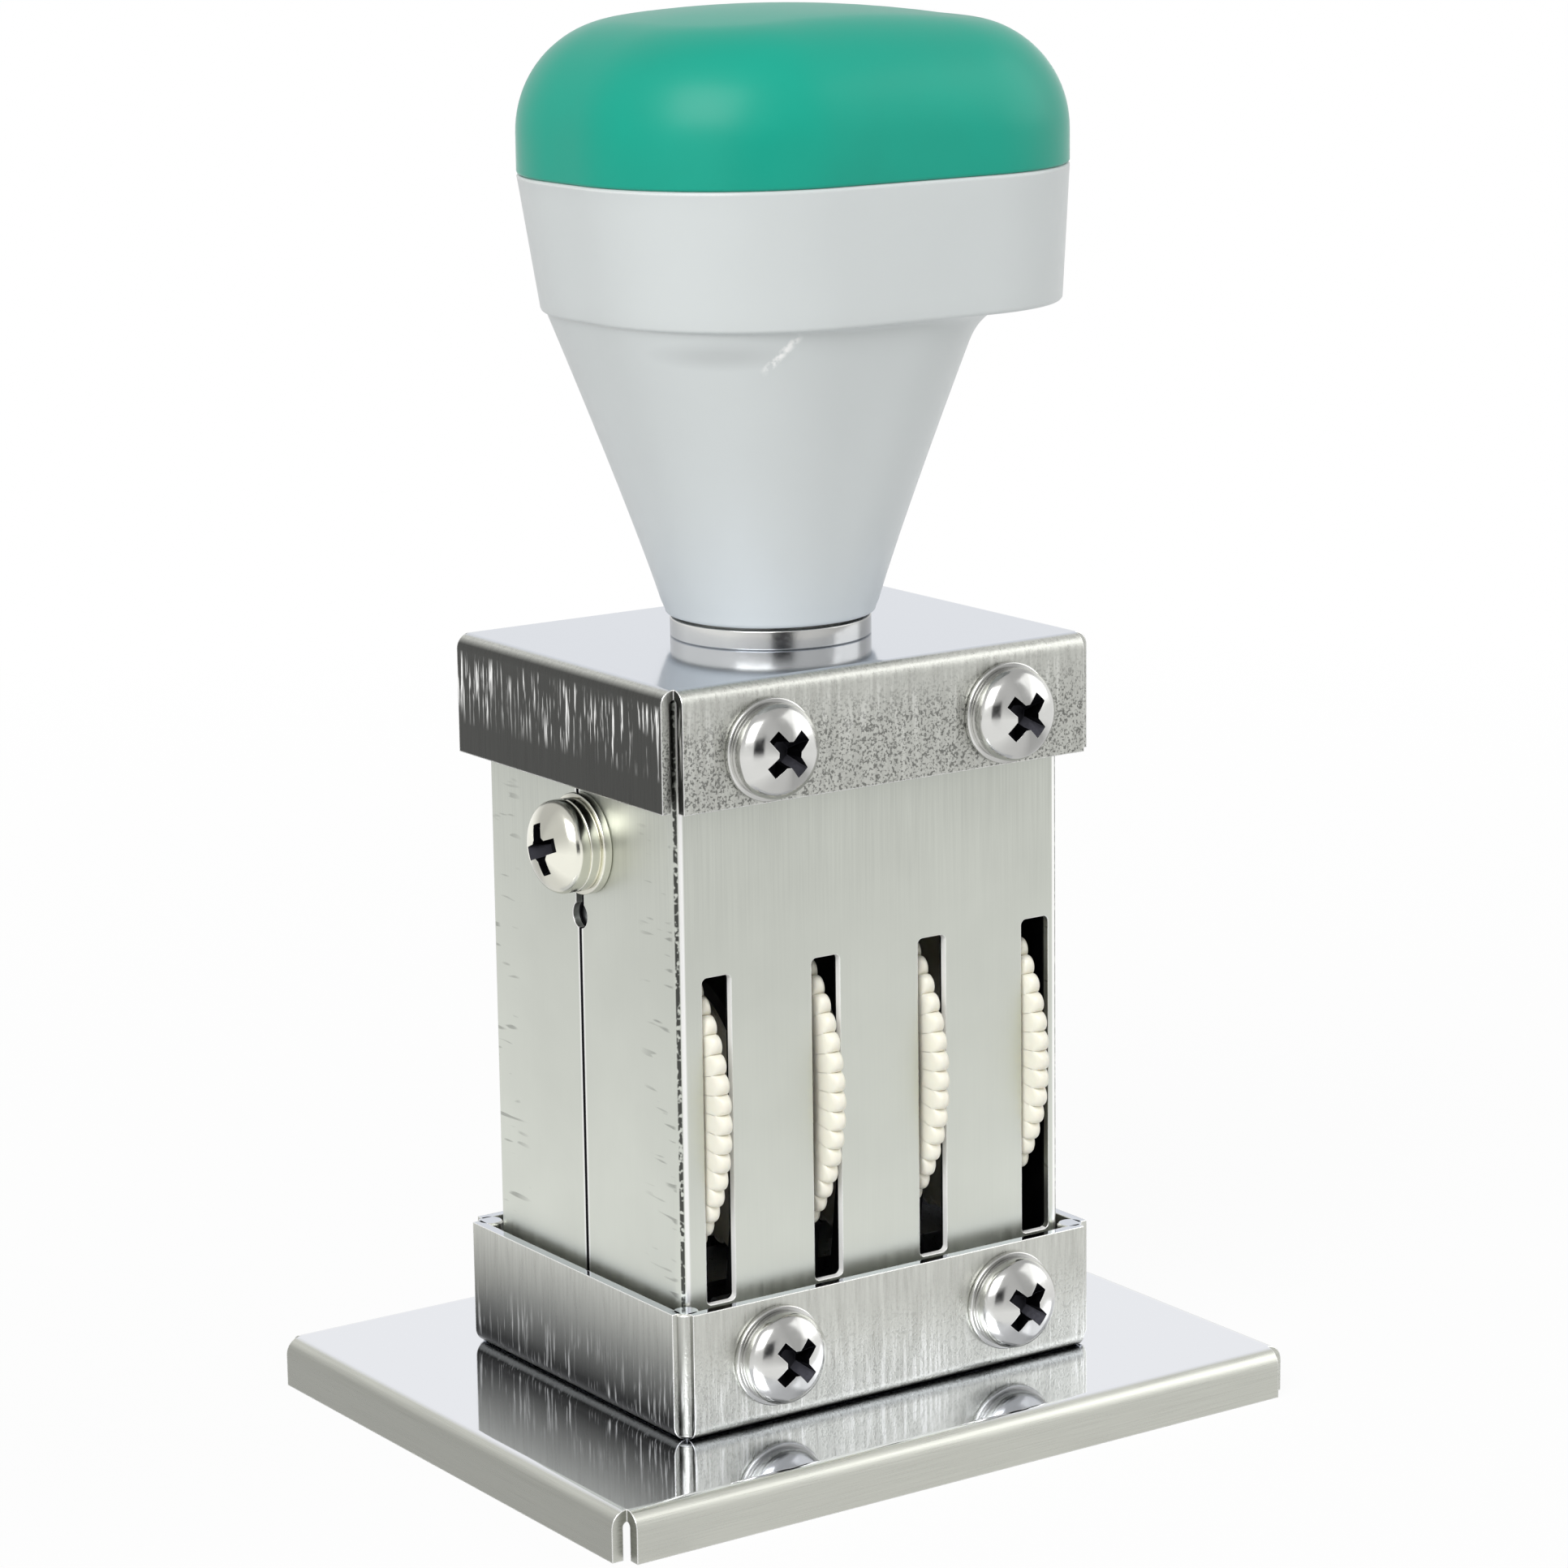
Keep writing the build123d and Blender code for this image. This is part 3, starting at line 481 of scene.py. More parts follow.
def polished_base_steel(sheet):
    """Stainless sheet, polished on top, where it mirrors the tray, and brushed softer on its flanges."""
    material, tree = start_material("polished_stainless_sheet")
    coordinates = add(tree, "TexCoord")
    place_in = coordinates.outputs["Object"]
    facing = add(tree, "SeparateXYZ", {"Vector": coordinates.outputs["Normal"]})
    level = add(tree, "Math", (facing.outputs["Z"],), operation="ABSOLUTE")
    on_top = add(tree, "MapRange", (level, 0.9, 0.99))
    # Brushing lines run along each flange, so the eye sees a soft, stretched shine there. They are drawn
    # coarser than real brushing, or they wouldn't show
    stretched = add(
        tree,
        "Mapping",
        {"Vector": place_in, "Scale": per_metre(sheet.brush_length, sheet.brush_length, sheet.brush_width)},
    )
    lines = add(tree, "TexNoise", {"Vector": stretched, "Scale": 1.0, "Detail": 4.0, "Roughness": 0.65})
    # Smudges a few millimetres wide keep the mirror from looking like glass
    smudges = add(
        tree, "TexNoise", {"Vector": place_in, "Scale": 1 / (7 * MM), "Detail": 5.0, "Roughness": 0.7}
    )
    soft_normal, edges = edge_mask(tree, sheet.edge_width)
    flange_rough = add(tree, "MapRange", (lines, 0.3, 0.7, 0.22, 0.4))
    mirror_rough = add(tree, "MapRange", (smudges, 0.35, 0.75, 0.035, 0.085))
    rough = add(tree, "Mix", (on_top, flange_rough, mirror_rough), data_type="FLOAT")
    line_shade = add(tree, "MapRange", (lines, 0.3, 0.7, 0.92, 1.05))
    # Painted shade: the side flanges are painted darker than the front
    sideways = add(tree, "Math", (facing.outputs["X"],), operation="ABSOLUTE")
    painted_side_shade = add(tree, "MapRange", (sideways, 0.6, 0.9, 1.0, 0.62))
    shade = add(tree, "Math", (line_shade, painted_side_shade), operation="MULTIPLY")
    flange = add(tree, "VectorMath", (sheet.flange_colour, shade), operation="SCALE")
    metal = add(tree, "Mix", (on_top, flange, (*sheet.polished_colour, 1)), data_type="RGBA")
    # Painted highlight: a bright line along bends and cut edges
    colour = add(tree, "Mix", (edges, metal, (*sheet.edge_colour, 1)), data_type="RGBA")
    scratch = add(
        tree, "Bump", {"Strength": 0.06, "Distance": 0.02 * MM, "Height": lines, "Normal": soft_normal}
    )
    shader = add(
        tree,
        "BsdfPrincipled",
        {"Base Color": colour, "Metallic": 1.0, "Roughness": rough, "Normal": scratch},
    )
    add(tree, "OutputMaterial", {"Surface": shader})
    return material


def bright_rolled_steel(sheet, name, painted_front_light, painted_side_shades, streaks, reach, speckle_depth, grime_and_shadow_depth):
    """Bright rolled stainless sheet: a near mirror on its level face, worked and streaked flanges.

    Painted light and shade scale the flanges' colour, in front and on the sides from foot to top. Streaks
    are the heights, as shares of a flange, where its strokes start, are full, begin to end and are gone.
    Reach is how strongly they show in front and on the sides.
    """
    low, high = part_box(name)
    material, tree = start_material(f"bright_rolled_stainless_{name}")
    coordinates = add(tree, "TexCoord")
    place_in = coordinates.outputs["Object"]
    at = add(tree, "SeparateXYZ", {"Vector": place_in})
    facing = add(tree, "SeparateXYZ", {"Vector": coordinates.outputs["Normal"]})
    level = add(tree, "Math", (facing.outputs["Z"],), operation="ABSOLUTE")
    on_top = add(tree, "MapRange", (level, 0.9, 0.99))
    sideways = add(tree, "Math", (facing.outputs["X"],), operation="ABSOLUTE")
    on_side = add(tree, "MapRange", (sideways, 0.6, 0.9))
    on_front = add(tree, "Math", (1.0, on_side), operation="SUBTRACT")
    height = add(tree, "MapRange", (at.outputs["Z"], low.z, high.z))
    # Painted shade: the side flanges are painted darker than the front, with a slow change from foot to top
    foot_tone, top_tone = painted_side_shades
    painted_side_shade = add(tree, "MapRange", (height, 0.15, 1.0, foot_tone, top_tone))
    tone = add(tree, "Mix", (on_side, painted_front_light, painted_side_shade), data_type="FLOAT")
    # The folding tool leaves short upright strokes, brightest on the side flanges
    upright = add(
        tree,
        "Mapping",
        {
            "Vector": place_in,
            "Scale": per_metre(sheet.stroke_width, sheet.stroke_width, sheet.stroke_length),
        },
    )
    strokes = add(tree, "TexNoise", {"Vector": upright, "Scale": 1.0, "Detail": 3.0, "Roughness": 0.6})
    bright = add(tree, "MapRange", (strokes, 0.54, 0.62))
    first, full, last, none = streaks
    rising = add(tree, "MapRange", (height, first, full))
    falling = add(tree, "MapRange", (height, none, last))
    patches = add(tree, "TexNoise", {"Vector": place_in, "Scale": 1 / (5 * MM), "Detail": 2.0})
    where = add(tree, "MapRange", (patches, 0.34, 0.5))
    on_the_front, on_the_sides = reach
    side_reach = add(tree, "MapRange", (on_side, 0.0, 1.0, on_the_front, on_the_sides))
    stroke = bright
    for share in (rising, falling, where, side_reach):
        stroke = add(tree, "Math", (stroke, share), operation="MULTIPLY")
    # Pressed speckle on the cap's front and back, as fine as leather grain and gone near the bend
    speckle = add(
        tree,
        "TexNoise",
        {"Vector": place_in, "Scale": 1 / sheet.grain_size, "Detail": 2.0, "Roughness": 0.55},
    )
    pits = add(tree, "MapRange", (speckle, 0.5, 0.6))
    off_bend = add(tree, "MapRange", (height, 0.84, 0.52, 0.15))
    pitted = add(tree, "Math", (pits, off_bend), operation="MULTIPLY")
    grain = add(tree, "Math", (pitted, on_front), operation="MULTIPLY")
    pit_tone = add(tree, "Math", (grain, -speckle_depth, 1.0), operation="MULTIPLY_ADD")
    faint = add(tree, "MapRange", (strokes, 0.3, 0.7, 0.86, 1.08))
    # Grime and a painted contact shadow darken the flange where it meets what lies under it
    grime_and_shadow = add(tree, "MapRange", (at.outputs["Z"], low.z + 0.55 * MM, low.z + 0.15 * MM))
    grime_and_shadow_tone = add(tree, "Math", (grime_and_shadow, -grime_and_shadow_depth, 1.0), operation="MULTIPLY_ADD")
    shade = tone
    for share in (pit_tone, faint, grime_and_shadow_tone):
        shade = add(tree, "Math", (shade, share), operation="MULTIPLY")
    flange = add(tree, "VectorMath", (sheet.rolled_colour, shade), operation="SCALE")
    soft_normal, edges = edge_mask(tree, sheet.edge_width)
    marked = add(tree, "Mix", (stroke, flange, (*sheet.edge_colour, 1)), data_type="RGBA")
    metal = add(tree, "Mix", (on_top, marked, (*sheet.cap_top_colour, 1)), data_type="RGBA")
    # Painted highlight: a bright line along bends and cut edges
    colour = add(tree, "Mix", (edges, metal, (*sheet.edge_colour, 1)), data_type="RGBA")
    flange_rough = add(tree, "MapRange", (strokes, 0.3, 0.7, 0.24, 0.38))
    rough = add(tree, "Mix", (on_top, flange_rough, 0.1), data_type="FLOAT")
    relief = add(tree, "Math", (strokes, grain), operation="SUBTRACT")
    strength = add(tree, "Math", (1.0, on_top), operation="SUBTRACT")
    depth = add(tree, "Math", (relief, strength), operation="MULTIPLY")
    bump = add(
        tree, "Bump", {"Strength": 0.3, "Distance": 0.03 * MM, "Height": depth, "Normal": soft_normal}
    )
    shader = add(
        tree, "BsdfPrincipled", {"Base Color": colour, "Metallic": 1.0, "Roughness": rough, "Normal": bump}
    )
    add(tree, "OutputMaterial", {"Surface": shader})
    return material


def satin_housing_steel(sheet):
    """Satin rolled stainless sheet: soft outside with painted light and highlights, and painted shade
    inside.
    """
    material, tree = start_material("satin_rolled_stainless_sheet")
    low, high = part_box("front_shell")
    half_width = high.x
    half_depth = -low.y
    coordinates = add(tree, "TexCoord")
    place_in = coordinates.outputs["Object"]
    at = add(tree, "SeparateXYZ", {"Vector": place_in})
    facing = add(tree, "SeparateXYZ", {"Vector": coordinates.outputs["Normal"]})
    # Upright brushing, drawn coarser than it is, that shows as faint streaks under the cap
    upright = add(
        tree,
        "Mapping",
        {"Vector": place_in, "Scale": per_metre(sheet.brush_width, sheet.brush_width, sheet.brush_length)},
    )
    lines = add(tree, "TexNoise", {"Vector": upright, "Scale": 1.0, "Detail": 4.0, "Roughness": 0.6})
    clouds = add(tree, "TexNoise", {"Vector": place_in, "Scale": 1 / (9 * MM), "Detail": 3.0})
    near_cap = add(tree, "MapRange", (at.outputs["Z"], high.z - 22 * MM, high.z - 9 * MM, 0.25))
    line_depth = add(tree, "MapRange", (lines, 0.3, 0.7, -0.09, 0.07))
    lined = add(tree, "Math", (line_depth, near_cap), operation="MULTIPLY")
    cloud_depth = add(tree, "MapRange", (clouds, 0.3, 0.7, 0.96, 1.02))
    # Painted light: the sheet's lower half is painted a little paler, and its upper part a little darker
    painted_paler_foot = add(tree, "MapRange", (at.outputs["Z"], low.z + 10 * MM, high.z - 10 * MM, 1.11, 0.89))
    tinted = add(tree, "Math", (cloud_depth, painted_paler_foot), operation="MULTIPLY")
    shade = add(tree, "Math", (tinted, lined), operation="ADD")
    # Level ticks near the walls' corners, where the sheet was drawn over the folding bar
    level = add(tree, "Mapping", {"Vector": place_in, "Scale": per_metre(4 * MM, 4 * MM, 0.55 * MM)})
    ticks = add(tree, "TexNoise", {"Vector": level, "Scale": 1.0, "Detail": 1.0})
    tick = add(tree, "MapRange", (ticks, 0.64, 0.7))
    from_middle = add(tree, "Math", (at.outputs["Y"],), operation="ABSOLUTE")
    by_corner = add(tree, "MapRange", (from_middle, half_depth - 5.5 * MM, half_depth - 3.0 * MM))
    sideways = add(tree, "Math", (facing.outputs["X"],), operation="ABSOLUTE")
    on_wall = add(tree, "MapRange", (sideways, 0.9, 0.99))
    tick_place = add(tree, "Math", (by_corner, on_wall), operation="MULTIPLY")
    ticked = add(tree, "Math", (tick, tick_place), operation="MULTIPLY")
    tick_dark = add(tree, "MapRange", (ticked, 0.0, 1.0, 1.0, 0.62))
    # The bend's outside is drawn into small dark beads
    beads = add(tree, "TexNoise", {"Vector": place_in, "Scale": 1 / (0.42 * MM), "Detail": 1.0})
    bend_share = add(tree, "Math", (facing.outputs["X"], facing.outputs["Y"]), operation="MULTIPLY")
    bend_size = add(tree, "Math", (bend_share,), operation="ABSOLUTE")
    on_bend = add(tree, "MapRange", (bend_size, 0.455, 0.485))
    bead = add(tree, "MapRange", (beads, 0.36, 0.5))
    beaded = add(tree, "Math", (bead, on_bend), operation="MULTIPLY")
    bead_dark = add(tree, "MapRange", (beaded, 0.0, 1.0, 1.0, 0.12))
    # Painted light: the side walls are painted a little brighter than the panels
    wall_painted_light = add(tree, "MapRange", (on_wall, 0.0, 1.0, 1.0, 1.03))
    marked = add(tree, "Math", (tick_dark, bead_dark), operation="MULTIPLY")
    toned = add(tree, "Math", (marked, wall_painted_light), operation="MULTIPLY")
    total = add(tree, "Math", (shade, toned), operation="MULTIPLY")
    outside = add(tree, "VectorMath", (sheet.satin_colour, total), operation="SCALE")
    # Inner faces lie deeper than most of the sheet's thickness; they are painted dark as painted shade
    skin_depth = 0.6 * MM
    across = add(tree, "Math", (at.outputs["X"],), operation="ABSOLUTE")
    within_x = add(tree, "Math", (across, half_width - skin_depth), operation="LESS_THAN")
    within_y = add(tree, "Math", (from_middle, half_depth - skin_depth), operation="LESS_THAN")
    inner = add(tree, "Math", (within_x, within_y), operation="MULTIPLY")
    # The seam between the two shells is painted dark with the same painted shade
    in_seam = add(tree, "Math", (from_middle, 0.2 * MM), operation="LESS_THAN")
    in_painted_shade = add(tree, "Math", (inner, in_seam), operation="MAXIMUM")
    soft_normal, edges = edge_mask(tree, sheet.edge_width)
    # Painted highlight: the seam's lips and the front of each bend are painted bright
    by_seam = add(tree, "MapRange", (from_middle, 0.46 * MM, 0.34 * MM, 0.0, 0.7))
    bend_start = add(tree, "MapRange", (sideways, 0.12, 0.26))
    bend_end = add(tree, "MapRange", (sideways, 0.58, 0.46))
    on_lip = add(tree, "Math", (bend_start, bend_end), operation="MULTIPLY")
    rubbed_and_highlight = edges
    for share in (by_seam, on_lip):
        rubbed_and_highlight = add(tree, "Math", (rubbed_and_highlight, share), operation="MAXIMUM")
    bare = add(tree, "Mix", (rubbed_and_highlight, outside, (*sheet.edge_colour, 1)), data_type="RGBA")
    colour = add(tree, "Mix", (in_painted_shade, bare, (*sheet.inside_colour, 1)), data_type="RGBA")
    # Painted highlight: the slots' cut edges are painted white and not metallic, so they look white
    in_panel = add(tree, "Math", (across, half_width - 1.5 * MM), operation="LESS_THAN")
    in_skin = add(tree, "Math", (from_middle, half_depth - skin_depth), operation="GREATER_THAN")
    upward = add(tree, "Math", (facing.outputs["Z"],), operation="ABSOLUTE")
    off_face = add(tree, "Math", (sideways, upward), operation="ADD")
    on_cut = add(tree, "Math", (off_face, 0.8), operation="GREATER_THAN")
    cut = on_cut
    for share in (in_panel, in_skin):
        cut = add(tree, "Math", (cut, share), operation="MULTIPLY")
    cut_edge_highlight = add(tree, "Mix", (cut, colour, (*sheet.edge_colour, 1)), data_type="RGBA")
    bare_metal = add(tree, "Math", (1.0, cut), operation="SUBTRACT")
    rough = add(tree, "MapRange", (lines, 0.3, 0.7, 0.34, 0.46))
    bump = add(
        tree, "Bump", {"Strength": 0.08, "Distance": 0.02 * MM, "Height": lines, "Normal": soft_normal}
    )
    shader = add(
        tree,
        "BsdfPrincipled",
        {"Base Color": cut_edge_highlight, "Metallic": bare_metal, "Roughness": rough, "Normal": bump},
    )
    add(tree, "OutputMaterial", {"Surface": shader})
    return material


def worked_metal(name, metal_colour, smoothest, roughest, mark_size):
    """Bare worked metal, with fine marks that break its shine into small, lively glints."""
    material, tree = start_material(name)
    place_in = add(tree, "TexCoord").outputs["Object"]
    marks = add(
        tree, "TexNoise", {"Vector": place_in, "Scale": 1 / mark_size, "Detail": 4.0, "Roughness": 0.65}
    )
    soft = add(tree, "Bevel", {"Radius": 0.09 * MM}, samples=6)
    rough = add(tree, "MapRange", (marks, 0.3, 0.7, smoothest, roughest))
    shade = add(tree, "MapRange", (marks, 0.3, 0.7, 0.9, 1.04))
    colour = add(tree, "VectorMath", (metal_colour, shade), operation="SCALE")
    bump = add(tree, "Bump", {"Strength": 0.1, "Distance": 0.02 * MM, "Height": marks, "Normal": soft})
    shader = add(
        tree, "BsdfPrincipled", {"Base Color": colour, "Metallic": 1.0, "Roughness": rough, "Normal": bump}
    )
    add(tree, "OutputMaterial", {"Surface": shader})
    return material


def turned_metal(name, metal_colour, axis):
    """Metal turned about an axis: its rings draw the shine out, and bright and dark sectors are painted
    into its colour as painted highlights and shade.
    """
    material, tree = start_material(name)
    coordinates = add(tree, "TexCoord")
    place_in = coordinates.outputs["Object"]
    middle = add(
        tree, "VectorMath", (coordinates.outputs["Generated"], (0.5, 0.5, 0.5)), operation="SUBTRACT"
    )
    across = add(tree, "SeparateXYZ", {"Vector": middle})
    first, second = {"X": ("Y", "Z"), "Y": ("X", "Z"), "Z": ("X", "Y")}[axis]
    flat = add(tree, "CombineXYZ", {"X": across.outputs[first], "Y": across.outputs[second]})
    share = add(tree, "TexGradient", {"Vector": flat}, gradient_type="RADIAL")
    turns = add(tree, "Math", (share.outputs["Fac"], 2 * math.pi), operation="MULTIPLY")
    broad = add(tree, "Math", (turns, 2.0, 0.9), operation="MULTIPLY_ADD")
    narrow = add(tree, "Math", (turns, 5.0, 0.4), operation="MULTIPLY_ADD")
    broad_wave = add(tree, "Math", (broad,), operation="SINE")
    narrow_wave = add(tree, "Math", (narrow,), operation="SINE")
    wave = add(tree, "Math", (narrow_wave, 0.35, broad_wave), operation="MULTIPLY_ADD")
    # Painted highlight and shade: the sectors scale the metal's colour
    painted_sector_shine = add(tree, "MapRange", (wave, -0.9, 0.9, 0.5, 1.0))
    marks = add(tree, "TexNoise", {"Vector": place_in, "Scale": 1 / (0.5 * MM), "Detail": 4.0})
    rough = add(tree, "MapRange", (marks, 0.3, 0.7, 0.14, 0.22))
    colour = add(tree, "VectorMath", (metal_colour, painted_sector_shine), operation="SCALE")
    soft = add(tree, "Bevel", {"Radius": 0.09 * MM}, samples=6)
    round_axis = add(tree, "Tangent", direction_type="RADIAL", axis=axis)
    shader = add(
        tree,
        "BsdfPrincipled",
        {
            "Base Color": colour,
            "Metallic": 1.0,
            "Roughness": rough,
            "Anisotropic": 0.6,
            "Normal": soft,
            "Tangent": round_axis,
        },
    )
    add(tree, "OutputMaterial", {"Surface": shader})
    return material


def moulded_abs(handle, band_z):
    """Moulded ABS with a fine satin skin: faint waves from the mould, a scuff and a painted shadow under
    the band, and painted highlights on its edges.
    """
    material, tree = start_material("moulded_abs_satin")
    place_in = add(tree, "TexCoord").outputs["Object"]
    waves = add(
        tree,
        "TexNoise",
        {"Vector": place_in, "Scale": 1 / handle.peel_size, "Detail": 2.0, "Roughness": 0.5},
    )
    cast = add(tree, "TexNoise", {"Vector": place_in, "Scale": 1 / (16 * MM), "Detail": 2.0})
    tint = add(tree, "MapRange", (cast, 0.3, 0.7, 0.965, 1.0))
    # A short slanting scuff in front, just under the band
    turned = add(
        tree, "VectorRotate", {"Vector": place_in, "Angle": math.radians(34.4)}, rotation_type="Z_AXIS"
    )
    slanted = add(
        tree,
        "Mapping",
        {
            "Vector": turned,
            "Location": (1.2 * MM, -17 * MM, band_z - 1.8 * MM),
            "Rotation": (0.0, math.radians(-45), 0.0),
        },
        vector_type="TEXTURE",
    )
    off_centre = add(tree, "VectorMath", (slanted,), operation="ABSOLUTE")
    along = add(tree, "SeparateXYZ", {"Vector": off_centre})
    thin = add(tree, "MapRange", (along.outputs["Z"], 0.4 * MM, 0.1 * MM))
    short = add(tree, "MapRange", (along.outputs["X"], 2.3 * MM, 1.4 * MM))
    in_front = add(tree, "Math", (along.outputs["Y"], 8 * MM), operation="LESS_THAN")
    line = add(tree, "Math", (thin, short), operation="MULTIPLY")
    scuff = add(tree, "Math", (line, in_front), operation="MULTIPLY")
    torn = add(tree, "TexNoise", {"Vector": place_in, "Scale": 1 / (0.7 * MM), "Detail": 3.0})
    ragged = add(tree, "MapRange", (torn, 0.4, 0.58))
    rubbed_and_highlight = add(tree, "Math", (scuff, ragged), operation="MULTIPLY")
    # A long, soft painted shadow lies in front just under the band's overhang, and the scuff crosses its
    # right end
    shadow_place = add(
        tree,
        "Mapping",
        {
            "Vector": turned,
            "Location": (-3.8 * MM, -19 * MM, band_z - 1.9 * MM),
            "Scale": (6.4 * MM, 12 * MM, 1.3 * MM),
        },
        vector_type="TEXTURE",
    )
    shadow_size = add(tree, "VectorMath", (shadow_place,), operation="LENGTH")
    painted_shadow = add(tree, "MapRange", (shadow_size, 1.0, 0.3, 1.0, 0.84))
    tone = add(tree, "Math", (tint, painted_shadow), operation="MULTIPLY")
    plain = add(tree, "VectorMath", (handle.shell_colour, tone), operation="SCALE")
    # Painted highlight: the moulding's edges are painted a little paler, and their normals are softened
    soft_normal, painted_edge_highlight = edge_mask(tree, 0.35 * MM)
    pale = add(tree, "Math", (rubbed_and_highlight, painted_edge_highlight), operation="MAXIMUM")
    colour = add(tree, "Mix", (pale, plain, (*linear("F6F7F6"), 1)), data_type="RGBA")
    rough = add(tree, "MapRange", (waves, 0.3, 0.7, 0.33, 0.41))
    bump = add(
        tree, "Bump", {"Strength": 0.12, "Distance": 0.04 * MM, "Height": waves, "Normal": soft_normal}
    )
    shader = add(
        tree,
        "BsdfPrincipled",
        {
            "Base Color": colour,
            "Roughness": rough,
            "IOR": 1.53,
            "Specular IOR Level": 0.5,
            "Normal": bump,
        },
    )
    add(tree, "OutputMaterial", {"Surface": shader})
    return material


def moulded_elastomer(handle):
    """Moulded soft elastomer: a matte skin with a pale bloom where it turns away from the eye."""
    material, tree = start_material("moulded_elastomer_matte")
    place_in = add(tree, "TexCoord").outputs["Object"]
    skin_grain = add(
        tree, "TexNoise", {"Vector": place_in, "Scale": 1 / (0.35 * MM), "Detail": 3.0, "Roughness": 0.6}
    )
    handling = add(tree, "TexNoise", {"Vector": place_in, "Scale": 1 / (12 * MM), "Detail": 3.0})
    shade = add(tree, "MapRange", (handling, 0.3, 0.7, 0.94, 1.04))
    colour = add(tree, "VectorMath", (handle.grip_colour, shade), operation="SCALE")
    rough = add(tree, "MapRange", (handling, 0.3, 0.7, 0.46, 0.56))
    bump = add(tree, "Bump", {"Strength": 0.1, "Distance": 0.02 * MM, "Height": skin_grain})
    shader = add(
        tree,
        "BsdfPrincipled",
        {
            "Base Color": colour,
            "Roughness": rough,
            "IOR": 1.5,
            "Specular IOR Level": 0.24,
            "Coat Weight": 0.2,
            "Coat Roughness": 0.3,
            "Sheen Weight": 0.45,
            "Sheen Roughness": 0.22,
            "Normal": bump,
        },
    )
    add(tree, "OutputMaterial", {"Surface": shader})
    return material


def natural_acetal(wheel):
    """Moulded natural acetal: milky and waxy, with light that seeps a little into the pegs."""
    material, tree = start_material("moulded_acetal_natural")
    place_in = add(tree, "TexCoord").outputs["Object"]
    cloud = add(tree, "TexNoise", {"Vector": place_in, "Scale": 1 / (3 * MM), "Detail": 3.0})
    shade = add(tree, "MapRange", (cloud, 0.3, 0.7, 0.95, 1.0))
    colour = add(tree, "VectorMath", (wheel.wheel_colour, shade), operation="SCALE")
    rough = add(tree, "MapRange", (cloud, 0.3, 0.7, 0.3, 0.42))
    bump = add(tree, "Bump", {"Strength": 0.05, "Distance": 0.03 * MM, "Height": cloud})
    shader = add(
        tree,
        "BsdfPrincipled",
        {
            "Base Color": colour,
            "Roughness": rough,
            "IOR": 1.48,
            "Subsurface Weight": 0.25,
            "Subsurface Radius": (1.0, 0.85, 0.6),
            "Subsurface Scale": 0.5 * MM,
            "Normal": bump,
        },
    )
    add(tree, "OutputMaterial", {"Surface": shader})
    return material


def black_polymer(name, base_colour, roughness, pore_size):
    """Black moulded rubber or nylon: deep and dull, with fine pores that catch a little light."""
    material, tree = start_material(name)
    place_in = add(tree, "TexCoord").outputs["Object"]
    pores = add(tree, "TexNoise", {"Vector": place_in, "Scale": 1 / pore_size, "Detail": 3.0})
    shade = add(tree, "MapRange", (pores, 0.3, 0.7, 0.8, 1.3))
    colour = add(tree, "VectorMath", (base_colour, shade), operation="SCALE")
    bump = add(tree, "Bump", {"Strength": 0.2, "Distance": 0.03 * MM, "Height": pores})
    shader = add(
        tree, "BsdfPrincipled", {"Base Color": colour, "Roughness": roughness, "IOR": 1.5, "Normal": bump}
    )
    add(tree, "OutputMaterial", {"Surface": shader})
    return material


def seen_or_mirrored(tree):
    """1 where the camera looks, also by way of metal or a clear body, and 0 for light on the object."""
    path = add(tree, "LightPath")
    rays = (path.outputs["Is Camera Ray"], path.outputs["Is Glossy Ray"])
    seen = add(tree, "Math", rays, operation="MAXIMUM")
    return add(tree, "Math", (seen, path.outputs["Is Transmission Ray"]), operation="MAXIMUM")


def backdrop_paper(stage):
    """Matte backdrop paper, lifted to white as seen, so that it keeps only a soft shadow."""
    material, tree = start_material("matte_backdrop_paper")
    place_in = add(tree, "TexCoord").outputs["Object"]
    fibres = add(tree, "TexNoise", {"Vector": place_in, "Scale": 1 / (2 * MM), "Detail": 2.0})
    shade = add(tree, "MapRange", (fibres, 0.3, 0.7, 0.985, 1.0))
    colour = add(tree, "VectorMath", (stage.floor_colour, shade), operation="SCALE")
    matte = add(tree, "BsdfDiffuse", {"Color": colour})
    # Far from the machine the paper is wholly white; near it, it keeps a soft shadow
    far = add(tree, "VectorMath", (place_in,), operation="LENGTH")
    lift = add(tree, "MapRange", (far, 0.05, 0.35, stage.floor_lift))
    share = add(tree, "Math", (seen_or_mirrored(tree), lift), operation="MULTIPLY")
    glow = add(tree, "Emission", {"Strength": 1.0})
    both = add(tree, "MixShader", (share, matte, glow))
    add(tree, "OutputMaterial", {"Surface": both})
    return material


# ---------------------------------------------------------------- operators


